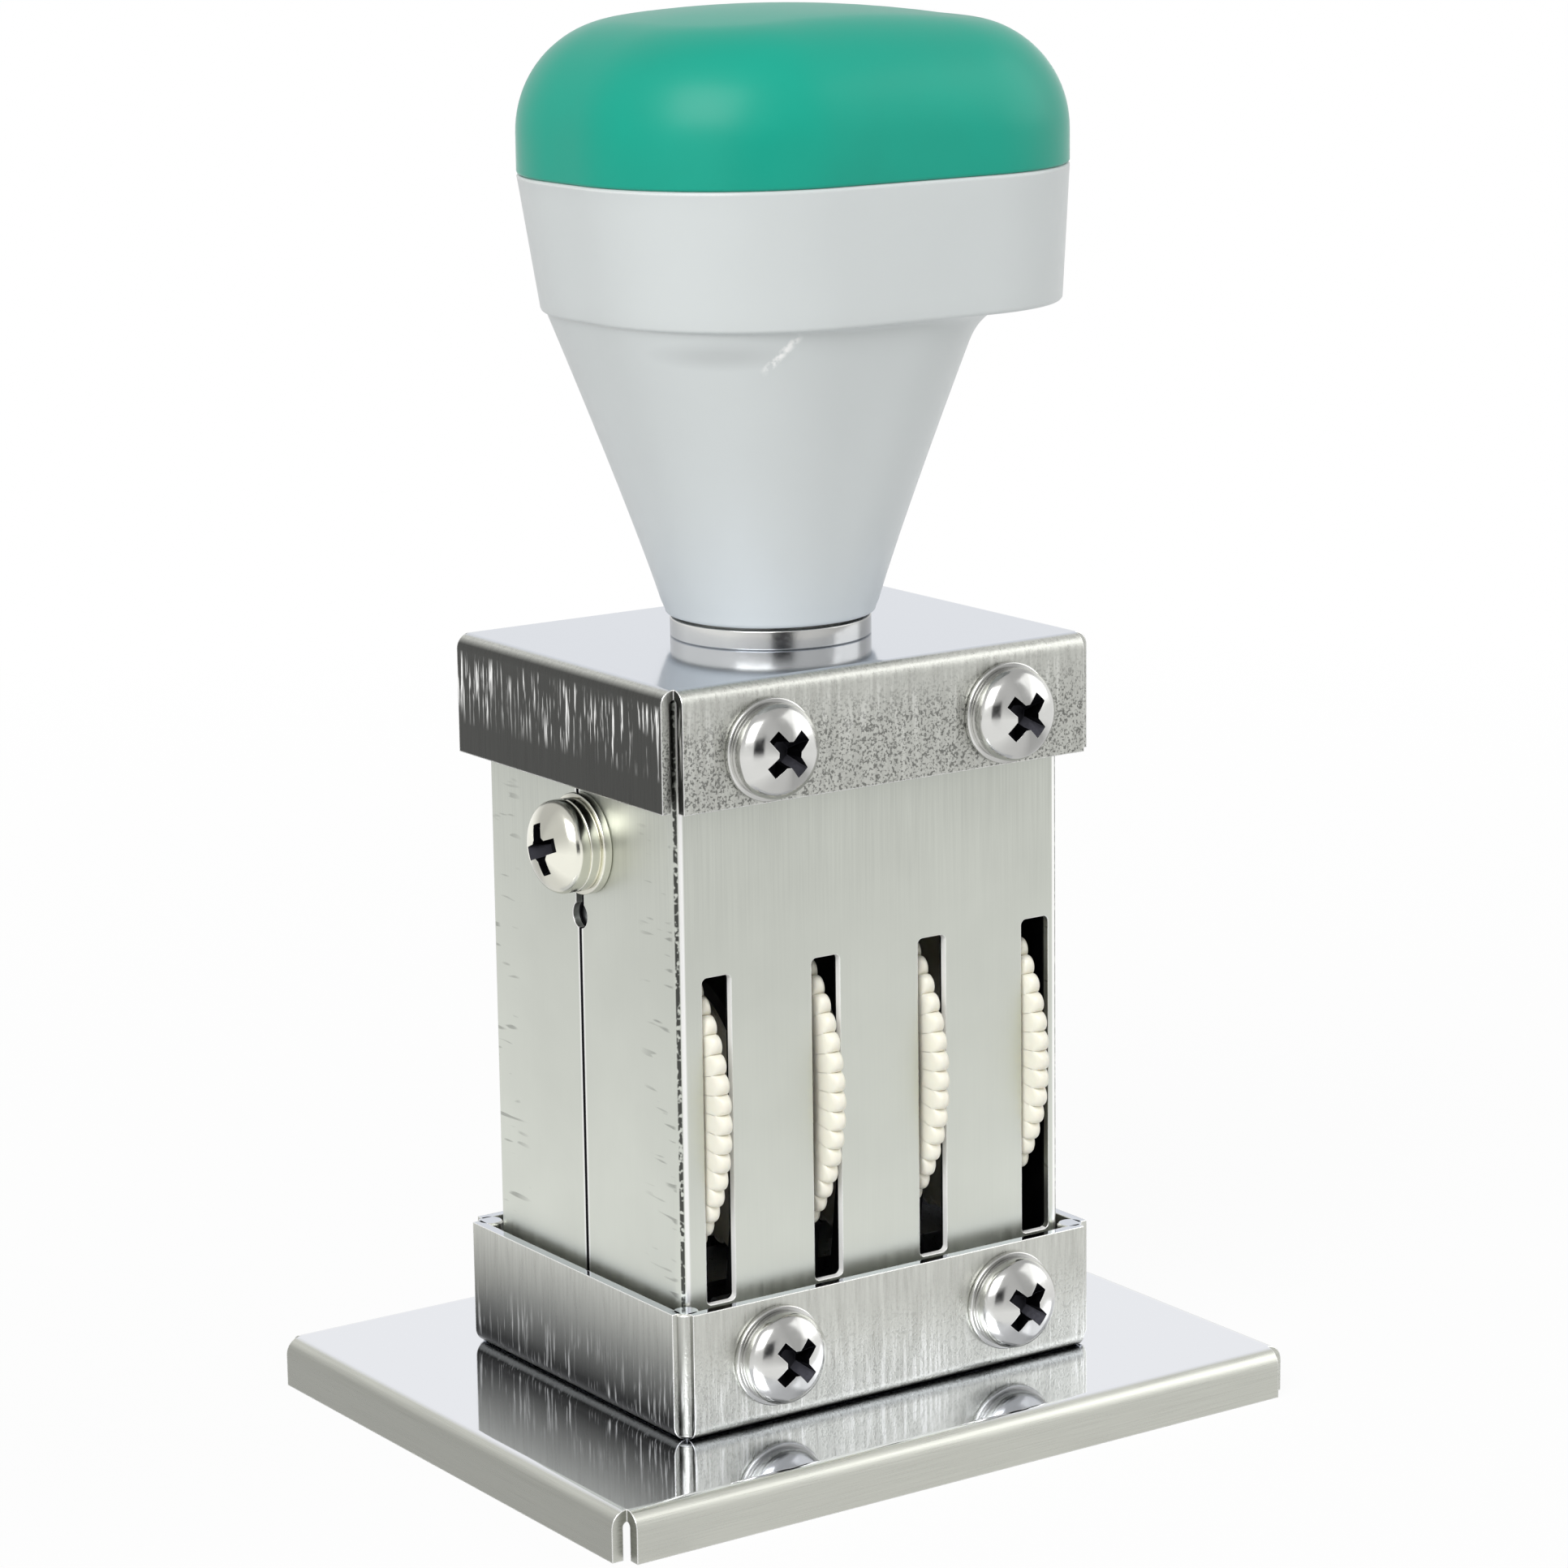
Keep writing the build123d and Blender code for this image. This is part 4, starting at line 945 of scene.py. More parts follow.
class MACHINE_OT_sheets(bpy.types.Operator):
    """Finish the base plate, the tray, the cap and the two shells of the housing"""

    bl_idname = "machine.sheets"
    bl_label = "Folded Sheets"

    def execute(self, context):
        sheet = context.scene.machine_sheet
        dress(polished_base_steel(sheet), "base_plate")
        cap = bright_rolled_steel(
            sheet,
            "top_cap",
            painted_front_light=1.0,
            painted_side_shades=(0.11, 0.12),
            streaks=(0.25, 0.45, 0.80, 0.88),
            reach=(0.12, 1.0),
            speckle_depth=0.62,
            grime_and_shadow_depth=0.0,
        )
        tray = bright_rolled_steel(
            sheet,
            "tray",
            painted_front_light=1.13,
            painted_side_shades=(0.03, 1.02),
            streaks=(0.04, 0.12, 0.30, 0.58),
            reach=(0.40, 0.45),
            speckle_depth=0.16,
            grime_and_shadow_depth=0.92,
        )
        dress(cap, "top_cap")
        dress(tray, "tray")
        self.tray_corners(tray)
        dress(satin_housing_steel(sheet), "front_shell", "rear_shell")
        return {"FINISHED"}

    def tray_corners(self, steel):
        """Close the tray's four upright corners with a slim rounded seam."""
        low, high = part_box("tray")
        radius = 1.1 * MM
        inset = 1.5 * MM
        foot = low.z + 0.25 * MM
        soft = 0.15 * MM
        top = high.z
        profile = [(radius - soft, foot), (radius, foot + soft), (radius, top - soft), (radius - soft, top)]
        for x, y, corner in level_corners(low, high, inset):
            seam = mesh_of(lathe(profile, 32), "tray_corner", Matrix.Translation((x, y, 0)))
            place(f"tray_corner_{corner}", seam, steel, MACHINE)


class MACHINE_OT_mechanism(bpy.types.Operator):
    """Finish the wheel frame, axle, platen, guide, distance rings, nuts and stud"""

    bl_idname = "machine.mechanism"
    bl_label = "Inner Mechanism"

    def execute(self, context):
        fastener = context.scene.machine_fastener
        wheel = context.scene.machine_wheel
        zinc = worked_metal("zinc_plated_steel", fastener.zinc_colour, 0.30, 0.48, 0.8 * MM)
        ground = worked_metal("ground_steel_rod", fastener.zinc_colour, 0.18, 0.30, 0.3 * MM)
        milled = worked_metal("milled_aluminium", fastener.aluminium_colour, 0.25, 0.40, 0.4 * MM)
        dress(zinc, "wheel_frame", "cap_nuts", "tray_nuts", "side_nuts", "stud_nut", "stud_washer")
        dress(ground, "wheel_axle", "handle_stud", "platen_screws")
        dress(ground, "cap_distance_rings", "tray_distance_rings")
        dress(milled, "platen")
        dress(black_polymer("moulded_nylon_black", wheel.guide_colour, 0.45, 0.5 * MM), "belt_guide")
        return {"FINISHED"}


# Rings up the handle: along its funnel, its hollow curve under the overhang, and its straight band
FUNNEL_STEPS = 30
CURVE_STEPS = 12
BAND_STEPS = 8
# Above 1 the funnel's wall bows inwards a little
FLARE_BEND = 1.08
# The hollow curve takes at most this share of the overhang
CURVE_SHARE = 0.96
SMOOTHING_PASSES = 12


class MACHINE_OT_handle(bpy.types.Operator):
    """Build the moulded handle: a flaring funnel under a straight band that overhangs on the right"""

    bl_idname = "machine.handle"
    bl_label = "Handle"

    def execute(self, context):
        handle = context.scene.machine_handle
        low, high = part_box("handle_body")
        neck_z = low.z - handle.neck_drop
        parting_z = high.z
        band_z = parting_z - handle.band_height
        funnel_height = band_z - neck_z
        funnel_middle = handle.band_reach - handle.band_width + handle.funnel_lip + handle.funnel_width / 2
        funnel_depth = handle.band_depth - 2 * handle.front_lip
        funnel_corner = handle.band_corner - handle.front_lip

        def funnel(rise):
            """The funnel's outline at a share of its height."""
            flare = rise**FLARE_BEND
            return rounded_outline(
                rise * funnel_middle,
                between(handle.neck_width, handle.funnel_width, flare),
                between(handle.neck_width, funnel_depth, flare),
                between(handle.neck_corner, funnel_corner, flare),
            )

        def band_outline(rise, inset=0.0):
            """The band's outline at a share of its height, drawn inwards by an inset."""
            width = between(handle.band_width, high.x - low.x, rise)
            depth = between(handle.band_depth, high.y - low.y, rise)
            right = between(handle.band_reach, high.x, rise)
            corner = between(handle.band_corner, handle.head_corner, rise)
            return rounded_outline(right - width / 2, width - 2 * inset, depth - 2 * inset, corner - inset)

        top_edge = funnel(1.0)
        normals = outline_normals()
        foot = (
            handle.band_reach - handle.band_width / 2,
            handle.band_width - 2 * handle.band_round,
            handle.band_depth - 2 * handle.band_round,
            handle.band_corner - handle.band_round,
        )
        full = handle.underside_fillet
        gaps = [max(reach(point, normal, *foot), 0.0) for point, normal in zip(top_edge, normals)]
        # The hollow curve grows with the overhang, evenly round the corners, and never passes its edge
        fillets = [CURVE_SHARE * full * (1 - math.exp(-gap / full)) for gap in gaps]
        for _ in range(SMOOTHING_PASSES):
            before = [fillets[-1], *fillets[:-1]]
            after = [*fillets[1:], fillets[0]]
            means = [sum(near) / 3 for near in zip(before, fillets, after)]
            fillets = [min(CURVE_SHARE * gap, mean) for gap, mean in zip(gaps, means)]
        rings = []
        # Neck: a rounded lower edge
        neck = funnel(0.0)
        for inset, rise in rounding(handle.neck_round, 5):
            shrink = 1 - inset / (handle.neck_width / 2)
            rings.append([(p.x * shrink, p.y * shrink, neck_z + rise) for p in neck])
        # Funnel: every column ends where its own fillet starts
        start = handle.neck_round / funnel_height
        for i in range(1, FUNNEL_STEPS + 1):
            ring = []
            for k, fillet in enumerate(fillets):
                rise = between(start, 1 - fillet / funnel_height, i / FUNNEL_STEPS)
                point = funnel(rise)[k]
                ring.append((point.x, point.y, neck_z + rise * funnel_height))
            rings.append(ring)
        # Hollow curve out to the band's underside: it leaves the funnel and meets the band without a crease
        foot_ring = rings[-1]
        for i in range(1, CURVE_STEPS + 1):
            share = i / CURVE_STEPS
            ring = []
            for start, top, normal, fillet in zip(foot_ring, top_edge, normals, fillets):
                crease = Vector((*top, band_z))
                end = crease + normal.to_3d() * fillet
                ring.append(tuple(Vector(start).lerp(crease, share).lerp(crease.lerp(end, share), share)))
            rings.append(ring)
        # Band: rounded foot, straight wall, rounded edge at the parting line
        height = handle.band_height
        for inset, rise in rounding(handle.band_round, 6):
            rings.append([(*point, band_z + rise) for point in band_outline(rise / height, inset)])
        for i in range(1, BAND_STEPS + 1):
            rise = between(handle.band_round, height - handle.parting_round, i / BAND_STEPS)
            rings.append([(*point, band_z + rise) for point in band_outline(rise / height)])
        for inset, drop in reversed(rounding(handle.parting_round, 5)[:-1]):
            rings.append([(*point, parting_z - drop) for point in band_outline(1.0, inset)])
        # Rim inside the band
        for drop in (0.0, handle.rim_width):
            rings.append([(*point, parting_z - drop) for point in band_outline(1.0, handle.rim_width)])
        shell = mesh_of(capped_skin(rings), "handle_shell")
        abs_plastic = moulded_abs(handle, band_z)
        place("handle_shell", shell, abs_plastic, MACHINE, ["handle_body"])
        return {"FINISHED"}


# Rings over the soft cap's shoulder, and how much of its radius the shoulder takes in level width
SHOULDER_STEPS = 22
SHOULDER_SHARE = 0.88
# Rings of the crown, as shares of its edge
CROWN_RINGS = (0.88, 0.74, 0.60, 0.46, 0.32, 0.18, 0.07)


class MACHINE_OT_grip(bpy.types.Operator):
    """Build the soft cap: a domed shell with a deep shoulder over the band"""

    bl_idname = "machine.grip"
    bl_label = "Soft Cap"

    def execute(self, context):
        handle = context.scene.machine_handle
        outer_low, outer_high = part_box("handle_body")
        parting_z = outer_high.z
        top_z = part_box("handle_cap")[1].z
        width = outer_high.x - outer_low.x
        depth = outer_high.y - outer_low.y
        middle = (outer_high.x + outer_low.x) / 2
        crown = handle.crown_radius
        edge = handle.dome_edge

        def outline(inset):
            """The cap's outline, drawn inwards by an inset."""
            return rounded_outline(middle, width - 2 * inset, depth - 2 * inset, handle.head_corner - inset)

        def crown_z(x, y):
            """Height of the crown's large ball above a place."""
            across = math.hypot(x - middle - handle.crown_shift, y)
            return top_z - crown + math.sqrt(crown * crown - across * across)

        rings = []
        for inset, rise in rounding(handle.parting_round, 5):
            rings.append([(*point, parting_z + rise) for point in outline(inset)])
        # Shoulder: each column bends over until it meets the crown's own slope
        shoulder_width = edge * SHOULDER_SHARE
        full_inset = outline(shoulder_width)
        ends = []
        for point in full_inset:
            slope = math.asin(math.hypot(point.x - middle - handle.crown_shift, point.y) / crown)
            last = math.pi / 2 - slope
            ends.append((last, crown_z(*point) - edge * math.sin(last)))
        wall = outline(0.0)
        for i in range(SHOULDER_STEPS + 1):
            ring = []
            for k, (last, spring_z) in enumerate(ends):
                angle = last * i / SHOULDER_STEPS
                inset = edge * (1 - math.cos(angle))
                point = wall[k].lerp(full_inset[k], inset / shoulder_width) if inset else wall[k]
                ring.append((point.x, point.y, spring_z + edge * math.sin(angle)))
            rings.append(ring)
        # Crown: rings that draw in towards its middle
        crown_edge = rings[-1]
        for share in CROWN_RINGS:
            ring = []
            for x, y, _ in crown_edge:
                inner = (middle + (x - middle) * share, y * share)
                ring.append((*inner, crown_z(*inner)))
            rings.append(ring)
        cap = mesh_of(capped_skin(rings), "handle_grip")
        place("handle_grip", cap, moulded_elastomer(handle), MACHINE, ["handle_cap"])
        return {"FINISHED"}


# Below 1 a peg keeps its height nearly to the disc's faces
PEG_BLUNTNESS = 0.7


class MACHINE_OT_wheels(bpy.types.Operator):
    """Build the four number wheels: pegged thumb disc, hub and belt drum in one moulding"""

    bl_idname = "machine.wheels"
    bl_label = "Number Wheels"

    def execute(self, context):
        wheel = context.scene.machine_wheel
        acetal = natural_acetal(wheel)
        for number in range(1, WHEEL_COUNT + 1):
            name = f"number_wheel_{number}"
            low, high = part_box(name)
            belt_low, belt_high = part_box(f"number_belt_{number}")
            disc_left = number <= WHEEL_COUNT // 2
            disc_x = low.x if disc_left else high.x - wheel.disc_thickness
            tip = (high.z - low.z) / 2
            form = bmesh.new()
            self.pegged_disc(form, wheel, disc_x, tip)
            disc_middle = disc_x + wheel.disc_thickness / 2
            hub_end = high.x if disc_left else low.x
            self.hub_and_drum(form, wheel, disc_middle, hub_end, belt_low.x, belt_high.x)
            turned = Matrix.Translation((0, 0, AXLE_Z)) @ Matrix.Rotation(math.pi / 2, 4, "Y")
            mesh = mesh_of(form, f"thumb_wheel_{number}", turned)
            place(f"thumb_wheel_{number}", mesh, acetal, name, [name])
        return {"FINISHED"}

    def pegged_disc(self, form, wheel, start, tip):
        """A disc whose rim is a row of round pegs, domed towards both faces."""
        root = tip - wheel.lobe_height
        pitch = 2 * math.pi / wheel.lobe_count
        half_angle = wheel.lobe_width / 2 / root
        half = wheel.disc_thickness / 2
        steps = [math.radians(angle) for angle in range(-90, 91, 15)]
        rings = []
        for row in steps:
            bulge = math.cos(row) ** PEG_BLUNTNESS
            level = start + half + half * math.sin(row)
            ring = []
            for lobe in range(wheel.lobe_count):
                for step in steps:
                    share = math.sin(step)
                    angle = lobe * pitch + half_angle * share
                    peg = math.sqrt(max(0.0, 1 - share * share)) * bulge
                    radius = root - wheel.rim_round * (1 - bulge) + wheel.lobe_height * peg
                    ring.append((radius * math.cos(angle), radius * math.sin(angle), level))
            rings.append(ring)
        rows = skin(form, rings)
        # Both faces: a shallow dish between rim and hub, with a bore in the middle
        dish = ((0.90, 0.0), (0.86, wheel.dish_depth), (0.30, wheel.dish_depth))
        for row, side in ((rows[0], -1), (rows[-1], 1)):
            inner = [row]
            for share, sink in dish:
                places = [(v.co.xy.normalized() * share * root, v.co.z - side * sink) for v in row]
                inner.append([form.verts.new((*across, z)) for across, z in places])
            band(form, inner)
            form.faces.new(inner[-1])

    def hub_and_drum(self, form, wheel, disc_middle, hub_end, drum_low, drum_high):
        """Hub from the disc to its end, with a drum that stands out a little at both sides of its belt."""
        lip = 0.1 * MM
        first, last = sorted((disc_middle, hub_end))
        steps = [
            (wheel.bore_radius, first),
            (wheel.hub_radius, first),
            (wheel.hub_radius, drum_low - lip),
            (wheel.drum_radius, drum_low - lip),
            (wheel.drum_radius, drum_high + lip),
            (wheel.hub_radius, drum_high + lip),
            (wheel.hub_radius, last),
            (wheel.bore_radius, last),
        ]
        lathe_ring(steps, 72, form)


# Height of a capital as a share of its font's size, and width of a figure as a share of the font's own
CAPITAL_SHARE = 0.72
FIGURE_SLIMNESS = 0.62
# Steps of a belt's line round the drum and round each corner of the platen's nose
DRUM_STEPS = 48
NOSE_STEPS = 12


class MACHINE_OT_belts(bpy.types.Operator):
    """Finish the number belts and set raised, reversed figures round each of them"""

    bl_idname = "machine.belts"
    bl_label = "Number Belts"

    def execute(self, context):
        wheel = context.scene.machine_wheel
        rubber = black_polymer("moulded_rubber_black", wheel.belt_colour, 0.62, 0.4 * MM)
        digits = [self.digit(str(i), wheel) for i in range(10)]
        for number in range(1, WHEEL_COUNT + 1):
            name = f"number_belt_{number}"
            dress(rubber, name)
            low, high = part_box(name)
            loop = self.loop(high.y, low.z)
            form = bmesh.new()
            for place_number in range(wheel.figure_count):
                figure = (place_number + number) % wheel.figure_count
                if figure < len(digits):
                    at, heading = self.along(loop, place_number / wheel.figure_count)
                    seat = self.seat(at, heading, (low.x + high.x) / 2)
                    copy = digits[figure].copy()
                    copy.transform(seat)
                    form.from_mesh(copy)
                    bpy.data.meshes.remove(copy)
            figures = f"belt_figures_{number}"
            place(figures, mesh_of(form, figures), rubber, MACHINE)
        for digit in digits:
            bpy.data.meshes.remove(digit)
        return {"FINISHED"}

    def digit(self, text, wheel):
        """A raised digit, reversed so that it prints the right way round."""
        curve = bpy.data.curves.new("digit", "FONT")
        curve.body = text
        curve.align_x = "CENTER"
        curve.align_y = "CENTER"
        curve.size = wheel.figure_height / CAPITAL_SHARE
        curve.extrude = wheel.figure_relief / 2
        curve.resolution_u = 4
        holder = bpy.data.objects.new("digit", curve)
        mesh = bpy.data.meshes.new_from_object(holder)
        bpy.data.objects.remove(holder)
        bpy.data.curves.remove(curve)
        raised = Matrix.Translation((0, 0, wheel.figure_relief / 2))
        mesh.transform(Matrix.Diagonal((-FIGURE_SLIMNESS, 1, 1, 1)) @ raised)
        mesh.flip_normals()
        return mesh

    def loop(self, drum_reach, low_z):
        """Outer line of a belt in the YZ plane: round the drum and round the platen's nose."""
        corner = 2.4 * MM
        nose = 5.1 * MM - corner
        points = []
        reach = Vector((nose, low_z + corner)) - Vector((0, AXLE_Z))
        lean = math.asin((drum_reach - corner) / reach.length)
        turn_start = math.atan2(reach.y, reach.x) + math.pi / 2 - lean
        for i in range(DRUM_STEPS + 1):
            angle = between(turn_start, math.pi - turn_start, i / DRUM_STEPS)
            points.append(Vector((drum_reach * math.cos(angle), AXLE_Z + drum_reach * math.sin(angle))))
        for side in (-1, 1):
            for i in range(NOSE_STEPS + 1):
                share = i / NOSE_STEPS if side < 0 else 1 - i / NOSE_STEPS
                angle = between(math.pi - turn_start, 3 * math.pi / 2, share)
                x = -nose + corner * math.cos(angle)
                points.append(Vector((x if side < 0 else -x, low_z + corner + corner * math.sin(angle))))
        return points

    def along(self, loop, share):
        """Place and heading at a share of the loop, starting under the platen's middle."""
        closed = [*loop, loop[0]]
        lengths = [(b - a).length for a, b in zip(closed, closed[1:])]
        under_nose = DRUM_STEPS + NOSE_STEPS + 1
        start = sum(lengths[:under_nose]) + lengths[under_nose] / 2
        wanted = (start + share * sum(lengths)) % sum(lengths)
        for a, b, length in zip(closed, closed[1:], lengths):
            if wanted <= length:
                return a.lerp(b, wanted / length), (b - a).normalized()
            wanted -= length
        return closed[0], (closed[1] - closed[0]).normalized()

    def seat(self, at, heading, x):
        """Matrix that lays a figure on the belt: its foot along the loop and its face outwards."""
        along = Vector((0, heading.x, heading.y))
        outward = Vector((0, heading.y, -heading.x))
        across = along.cross(outward)
        turned = Matrix((across, along, outward)).transposed().to_4x4()
        return Matrix.Translation((x, at.x, at.y)) @ turned


class MACHINE_OT_fasteners(bpy.types.Operator):
    """Build the domed cross-recess screws, their washers, the collar and the rivets"""

    bl_idname = "machine.fasteners"
    bl_label = "Screws, Washers, Collar and Rivets"

    def execute(self, context):
        fastener = context.scene.machine_fastener
        steel = turned_metal("turned_stainless_bright", fastener.steel_colour, "Y")
        plated = turned_metal("turned_steel_nickel_plated", fastener.plated_colour, "X")
        # Painted shade: the cross recess is painted near black
        recess_shade = worked_metal("steel_with_painted_recess_shade", fastener.recess_colour, 0.30, 0.50, 0.3 * MM)
        chance = random.Random(11)
        self.rim_stacks(fastener, "cap", "top_cap", steel, recess_shade, chance)
        self.rim_stacks(fastener, "tray", "tray", steel, recess_shade, chance)
        self.side_stacks(fastener, plated, recess_shade)
        self.collar(fastener, turned_metal("turned_stainless_collar", fastener.steel_colour, "Z"))
        self.rivets(fastener)
        return {"FINISHED"}

    def rim_stacks(self, fastener, rim, sheet, steel, recess_shade, chance):
        """A flat washer and a screw at each of a rim's four places; no two screws stop at the same turn."""
        low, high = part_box(f"{rim}_screws")
        washer_low, washer_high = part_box(f"{rim}_washers")
        middle_z = (low.z + high.z) / 2
        packed_radius = (high.z - low.z) / 2
        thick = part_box(sheet)[0].y - washer_low.y
        for y, side, side_name in ((washer_low.y, -1, "front"), (washer_high.y, 1, "back")):
            for x, x_name in ((low.x + packed_radius, "left"), (high.x - packed_radius, "right")):
                facing = Matrix.Rotation(side * -math.pi / 2, 4, "X")
                turned = Matrix.Rotation(chance.uniform(0.2, 1.3), 4, "Z")
                head_at = Matrix.Translation((x, y, middle_z)) @ facing @ turned
                washer_at = Matrix.Translation((x, y - side * thick, middle_z)) @ facing
                corner = f"{side_name}_{x_name}"
                screw = self.screw(fastener, head_at)
                self.fit_screw(f"{rim}_screw_{corner}", screw, steel, recess_shade, f"{rim}_screws")
                washer = self.washer(fastener, thick, washer_at)
                self.fit(f"{rim}_washer_{corner}", washer, steel, f"{rim}_washers")

    def fit(self, name, mesh, metal, node):
        """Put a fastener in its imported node's place."""
        return place(name, mesh, metal, MACHINE, [node])

    def fit_screw(self, name, mesh, metal, recess_shade, node):
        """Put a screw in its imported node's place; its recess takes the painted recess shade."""
        self.fit(name, mesh, metal, node).data.materials.append(recess_shade)

    def screw(self, fastener, matrix):
        """A pan head with a tapered cross recess, standing on its seat at z 0."""
        radius = fastener.head_radius
        edge = fastener.head_edge
        dome = fastener.head_height - edge
        soft = fastener.edge_round
        profile = [(fastener.shank_radius, -2.0 * MM), (fastener.shank_radius, 0.0), (radius - soft, 0.0)]
        profile += quarter((radius - soft, soft), soft, -90)[1:]
        profile += [(radius, edge)]
        for i in range(1, 16):
            angle = math.radians(90 * i / 16)
            profile.append((radius * math.cos(angle), edge + dome * math.sin(angle)))
        head = bpy.data.objects.new("head", mesh_of(lathe(profile, 64), "head"))
        cutter = bpy.data.objects.new("cutter", self.recess_cutter(fastener))
        for item in (head, cutter):
            bpy.context.scene.collection.objects.link(item)
        cut = head.modifiers.new("recess", "BOOLEAN")
        cut.operation = "DIFFERENCE"
        cut.solver = "EXACT"
        cut.object = cutter
        made = bpy.data.meshes.new_from_object(head.evaluated_get(bpy.context.evaluated_depsgraph_get()))
        bpy.data.objects.remove(head)
        bpy.data.objects.remove(cutter)
        made.materials.clear()
        # Recess faces lie below the dome, and take the second material, the painted shade of the recess
        for face in made.polygons:
            across = face.center.xy.length / radius
            if across < 0.95 and face.center.z > 0.2 * MM:
                dome_z = edge + dome * math.sqrt(1 - across * across)
                face.material_index = int(face.center.z < dome_z - 0.06 * MM)
        made.transform(matrix)
        return made

    def recess_cutter(self, fastener):
        """The punch of a cross recess: four wings that narrow and draw in towards the tip."""
        height = fastener.head_height
        depth = fastener.recess_depth
        span = fastener.recess_span
        half_width = fastener.recess_width / 2
        levels = (
            (height + 0.4 * MM, span / 2 + 0.25 * MM, half_width + 0.05 * MM),
            (height - depth * 0.55, span * 0.36, half_width * 0.9),
            (height - depth, span * 0.16, half_width * 0.7),
        )
        rings = []
        for z, reach, half in levels:
            heart = half + 0.30 * MM
            quarter_ring = [(reach, -half), (reach, half), (heart, half), (half, heart)]
            ring = []
            for cosine, sine in ((1, 0), (0, 1), (-1, 0), (0, -1)):
                ring += [(cosine * x - sine * y, sine * x + cosine * y, z) for x, y in quarter_ring]
            rings.append(ring)
        return mesh_of(capped_skin(rings), "cutter")

    def ring_section(self, fastener, radius, thickness):
        """Section of a washer whose edges are rounded, by a third of its thickness at most."""
        soft = min(fastener.edge_round, thickness / 3)
        return ring_profile(fastener.washer_bore, radius, 0.0, thickness, soft)

    def washer(self, fastener, thickness, matrix):
        """A flat ring with rounded edges, standing on its seat at z 0."""
        section = self.ring_section(fastener, fastener.washer_radius, thickness)
        return mesh_of(lathe_ring(section, 72), "washer", matrix)

    def side_stacks(self, fastener, plated, recess_shade):
        """Flat washer, split spring washer and screw on both walls."""
        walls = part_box("front_shell")
        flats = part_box("side_washers")
        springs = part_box("side_spring_washers")
        y = (flats[0].y + flats[1].y) / 2
        z = (flats[0].z + flats[1].z) / 2
        for end, side, name in ((0, -1, "left"), (1, 1, "right")):
            wall_x, flat_x, spring_x = walls[end].x, flats[end].x, springs[end].x
            on_wall, on_flat, on_spring = (
                Matrix.Translation((x, y, z)) @ Matrix.Rotation(side * math.pi / 2, 4, "Y")
                for x in (wall_x, flat_x, spring_x)
            )
            washer = self.washer(fastener, abs(flat_x - wall_x), on_wall)
            self.fit(f"side_washer_{name}", washer, plated, "side_washers")
            spring = self.split_washer(fastener, abs(spring_x - flat_x), on_flat)
            self.fit(f"spring_washer_{name}", spring, plated, "side_spring_washers")
            screw = self.screw(fastener, on_spring @ Matrix.Rotation(0.35, 4, "Z"))
            self.fit_screw(f"side_screw_{name}", screw, plated, recess_shade, "side_screws")

    def split_washer(self, fastener, thickness, matrix):
        """A spring washer: a ring of nearly square wire, cut through at a slant."""
        half_gap = 0.07
        slant = 0.10
        steps = 64
        rings = []
        for i in range(steps + 1):
            ring = []
            for radius, height in self.ring_section(fastener, fastener.spring_radius, thickness):
                lean = slant * (height / thickness - 0.5)
                angle = between(half_gap + lean, 2 * math.pi - half_gap + lean, i / steps)
                ring.append((radius * math.cos(angle), radius * math.sin(angle), height))
            rings.append(ring)
        return mesh_of(capped_skin(rings), "split_washer", matrix)

    def collar(self, fastener, steel):
        """The turned ring that the handle stands on: a dark groove parts it from the neck."""
        low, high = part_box("handle_collar")
        radius = fastener.collar_radius
        height = high.z - low.z
        step = 0.55 * MM
        soft = 0.12 * MM
        bore = 4.05 * MM
        groove = radius - 1.2 * MM
        profile = [(bore, 0.0), (radius - 0.1 * MM, 0.0), (radius, 0.1 * MM)]
        profile += quarter((radius - soft, height - step - soft), soft, 0)
        profile += [(groove, height - step), (groove, height), (bore, height)]
        ring = mesh_of(lathe_ring(profile, 128), "neck_collar", Matrix.Translation((0, 0, low.z)))
        self.fit("neck_collar", ring, steel, "handle_collar")

    def rivets(self, fastener):
        """Set rivets: two low domes joined by a shank."""
        set_metal = worked_metal("set_aluminium_rivet", fastener.aluminium_colour, 0.25, 0.40, 0.4 * MM)
        low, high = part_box("base_rivets")
        head = 2.6 * MM
        shank = 1.5 * MM
        rise = 0.6 * MM
        dome = [(head * math.cos(a), rise * math.sin(a)) for a in (math.radians(12 * i) for i in range(8))]
        profile = [(r, high.z - rise + h) for r, h in reversed(dome)]
        profile += [(shank, high.z - rise), (shank, low.z + rise)]
        profile += [(r, low.z + rise - h) for r, h in dome]
        for x, y, corner in level_corners(low, high, head):
            rivet = mesh_of(lathe(profile, 40), "rivet", Matrix.Translation((x, y, 0)))
            place(f"rivet_{corner}", rivet, set_metal, MACHINE, ["base_rivets"])


# Side of both lamps, which is large beside the machine, so that shadows stay soft
LAMP_SIZE = 0.9
# Keeps the card's foot clear of the floor
CARD_LIFT = 0.001


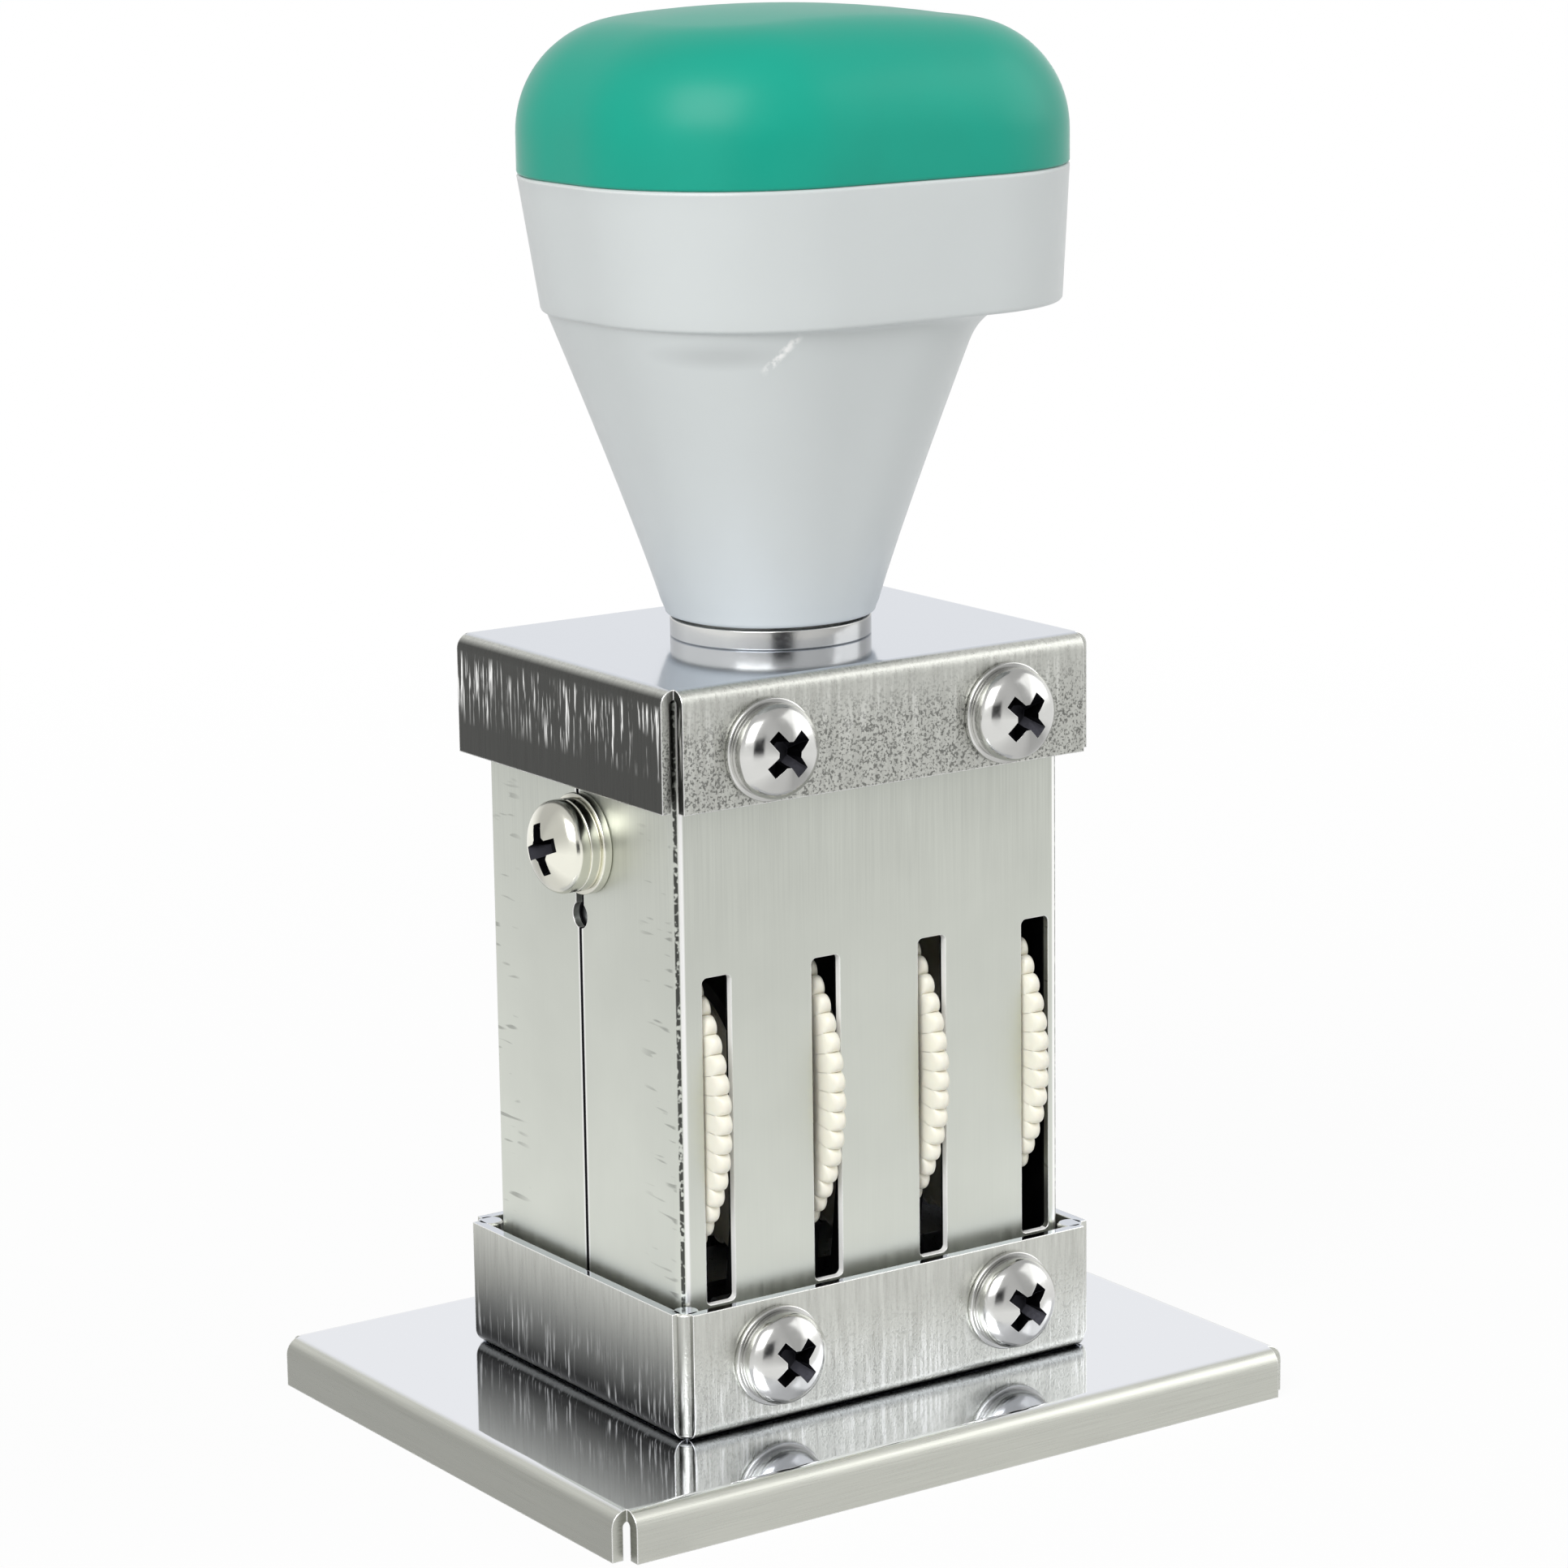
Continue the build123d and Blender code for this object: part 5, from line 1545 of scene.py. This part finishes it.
class MACHINE_OT_stage(bpy.types.Operator):
    """Set up the pale floor, the soft light, the dark card and the camera"""

    bl_idname = "machine.stage"
    bl_label = "Stage, Light and Camera"

    def execute(self, context):
        stage = context.scene.machine_stage
        context.scene.view_settings.view_transform = "Standard"
        self.floor(stage)
        self.sky(context, stage)
        self.lamp("key_lamp", Vector((-0.80, -0.58, 0.88)), stage.key_level)
        self.lamp("fill_lamp", Vector((0.95, -0.45, 0.55)), stage.fill_level)
        self.card("front_flag", stage, -0.16, -0.42, width=0.20, height=0.20)
        self.camera(context, stage)
        return {"FINISHED"}

    def flat_sheet(self, name, corners, material):
        """A stage piece with one flat face."""
        form = bmesh.new()
        form.faces.new([form.verts.new(corner) for corner in corners])
        mesh = bpy.data.meshes.new(name)
        form.to_mesh(mesh)
        form.free()
        mesh.materials.append(material)
        sheet = bpy.data.objects.new(name, mesh)
        bpy.context.scene.collection.objects.link(sheet)
        return sheet

    def floor(self, stage):
        """One large level sheet of paper."""
        half = stage.floor_size / 2
        corners = ((-half, -half, 0), (half, -half, 0), (half, half, 0), (-half, half, 0))
        self.flat_sheet("floor", corners, backdrop_paper(stage))

    def sky(self, context, stage):
        """Even light from all round; the camera, metal and glass see it as white."""
        world = bpy.data.worlds.new("studio")
        context.scene.world = world
        world.use_nodes = True
        # The white that metal sees holds for rays that bounce, and not for sampled light
        world.cycles.sampling_method = "NONE"
        tree = world.node_tree
        tree.nodes.clear()
        level = add(tree, "MapRange", (seen_or_mirrored(tree), 0.0, 1.0, stage.sky_level, 1.0))
        sky = add(tree, "Background", {"Color": (1, 1, 1, 1), "Strength": level})
        add(tree, "OutputWorld", {"Surface": sky})

    def lamp(self, name, at, power):
        """A large square lamp aimed at the machine's middle."""
        light = bpy.data.lights.new(name, "AREA")
        light.shape = "SQUARE"
        light.size = LAMP_SIZE
        light.energy = power
        lamp = bpy.data.objects.new(name, light)
        bpy.context.scene.collection.objects.link(lamp)
        lamp.location = at
        target = (frame_box[0] + frame_box[1]) / 2
        lamp.rotation_euler = (target - at).to_track_quat("-Z", "Y").to_euler()

    def card(self, name, stage, x, y, width, height):
        """A dark card that only the steel's reflections show, turned to face the machine."""
        material, tree = start_material("matte_black_card")
        matte = add(tree, "BsdfDiffuse", {"Color": (*stage.flag_colour, 1)})
        add(tree, "OutputMaterial", {"Surface": matte})
        half = width / 2
        corners = ((-half, 0, 0), (half, 0, 0), (half, 0, height), (-half, 0, height))
        card = self.flat_sheet(name, corners, material)
        card.location = (x, y, CARD_LIFT)
        card.rotation_euler = (0, 0, math.atan2(x, -y))
        card.visible_camera = False
        card.visible_diffuse = False
        card.visible_shadow = False

    def camera(self, context, stage):
        """A long lens that looks down at the machine from the left front."""
        data = bpy.data.cameras.new("camera")
        data.sensor_width = 36.0
        data.lens = stage.camera_lens
        data.clip_start = 0.01
        data.clip_end = 20.0
        camera = bpy.data.objects.new("camera", data)
        context.scene.collection.objects.link(camera)
        camera.matrix_world = (
            Matrix.Translation(stage.camera_place)
            @ Matrix.Rotation(-stage.camera_yaw, 4, "Z")
            @ Matrix.Rotation(math.pi / 2 - stage.camera_pitch, 4, "X")
            @ Matrix.Rotation(stage.camera_roll, 4, "Z")
        )
        context.scene.camera = camera


OPERATORS = (
    MACHINE_OT_sheets,
    MACHINE_OT_mechanism,
    MACHINE_OT_handle,
    MACHINE_OT_grip,
    MACHINE_OT_wheels,
    MACHINE_OT_belts,
    MACHINE_OT_fasteners,
    MACHINE_OT_stage,
)


class MACHINE_PT_panel(bpy.types.Panel):
    """Lists the machine's pieces in the 3D view's sidebar"""

    bl_idname = "MACHINE_PT_panel"
    bl_label = "Numbering Machine"
    bl_space_type = "VIEW_3D"
    bl_region_type = "UI"
    bl_category = "Numbering Machine"

    def draw(self, context):
        for operator in OPERATORS:
            self.layout.operator(operator.bl_idname)


def register():
    """Register every class, and hang the settings on the scene."""
    for name, group in SETTINGS.items():
        bpy.utils.register_class(group)
        setattr(bpy.types.Scene, name, PointerProperty(type=group))
    for operator in OPERATORS:
        bpy.utils.register_class(operator)
    bpy.utils.register_class(MACHINE_PT_panel)


def unregister():
    """Undo register()."""
    bpy.utils.unregister_class(MACHINE_PT_panel)
    for operator in reversed(OPERATORS):
        bpy.utils.unregister_class(operator)
    for name, group in reversed(SETTINGS.items()):
        delattr(bpy.types.Scene, name)
        bpy.utils.unregister_class(group)


def main():
    """Register the classes, and build every piece in order."""
    register()
    for operator in OPERATORS:
        group, action = operator.bl_idname.split(".")
        getattr(getattr(bpy.ops, group), action)()


if __name__ == "__main__":
    main()
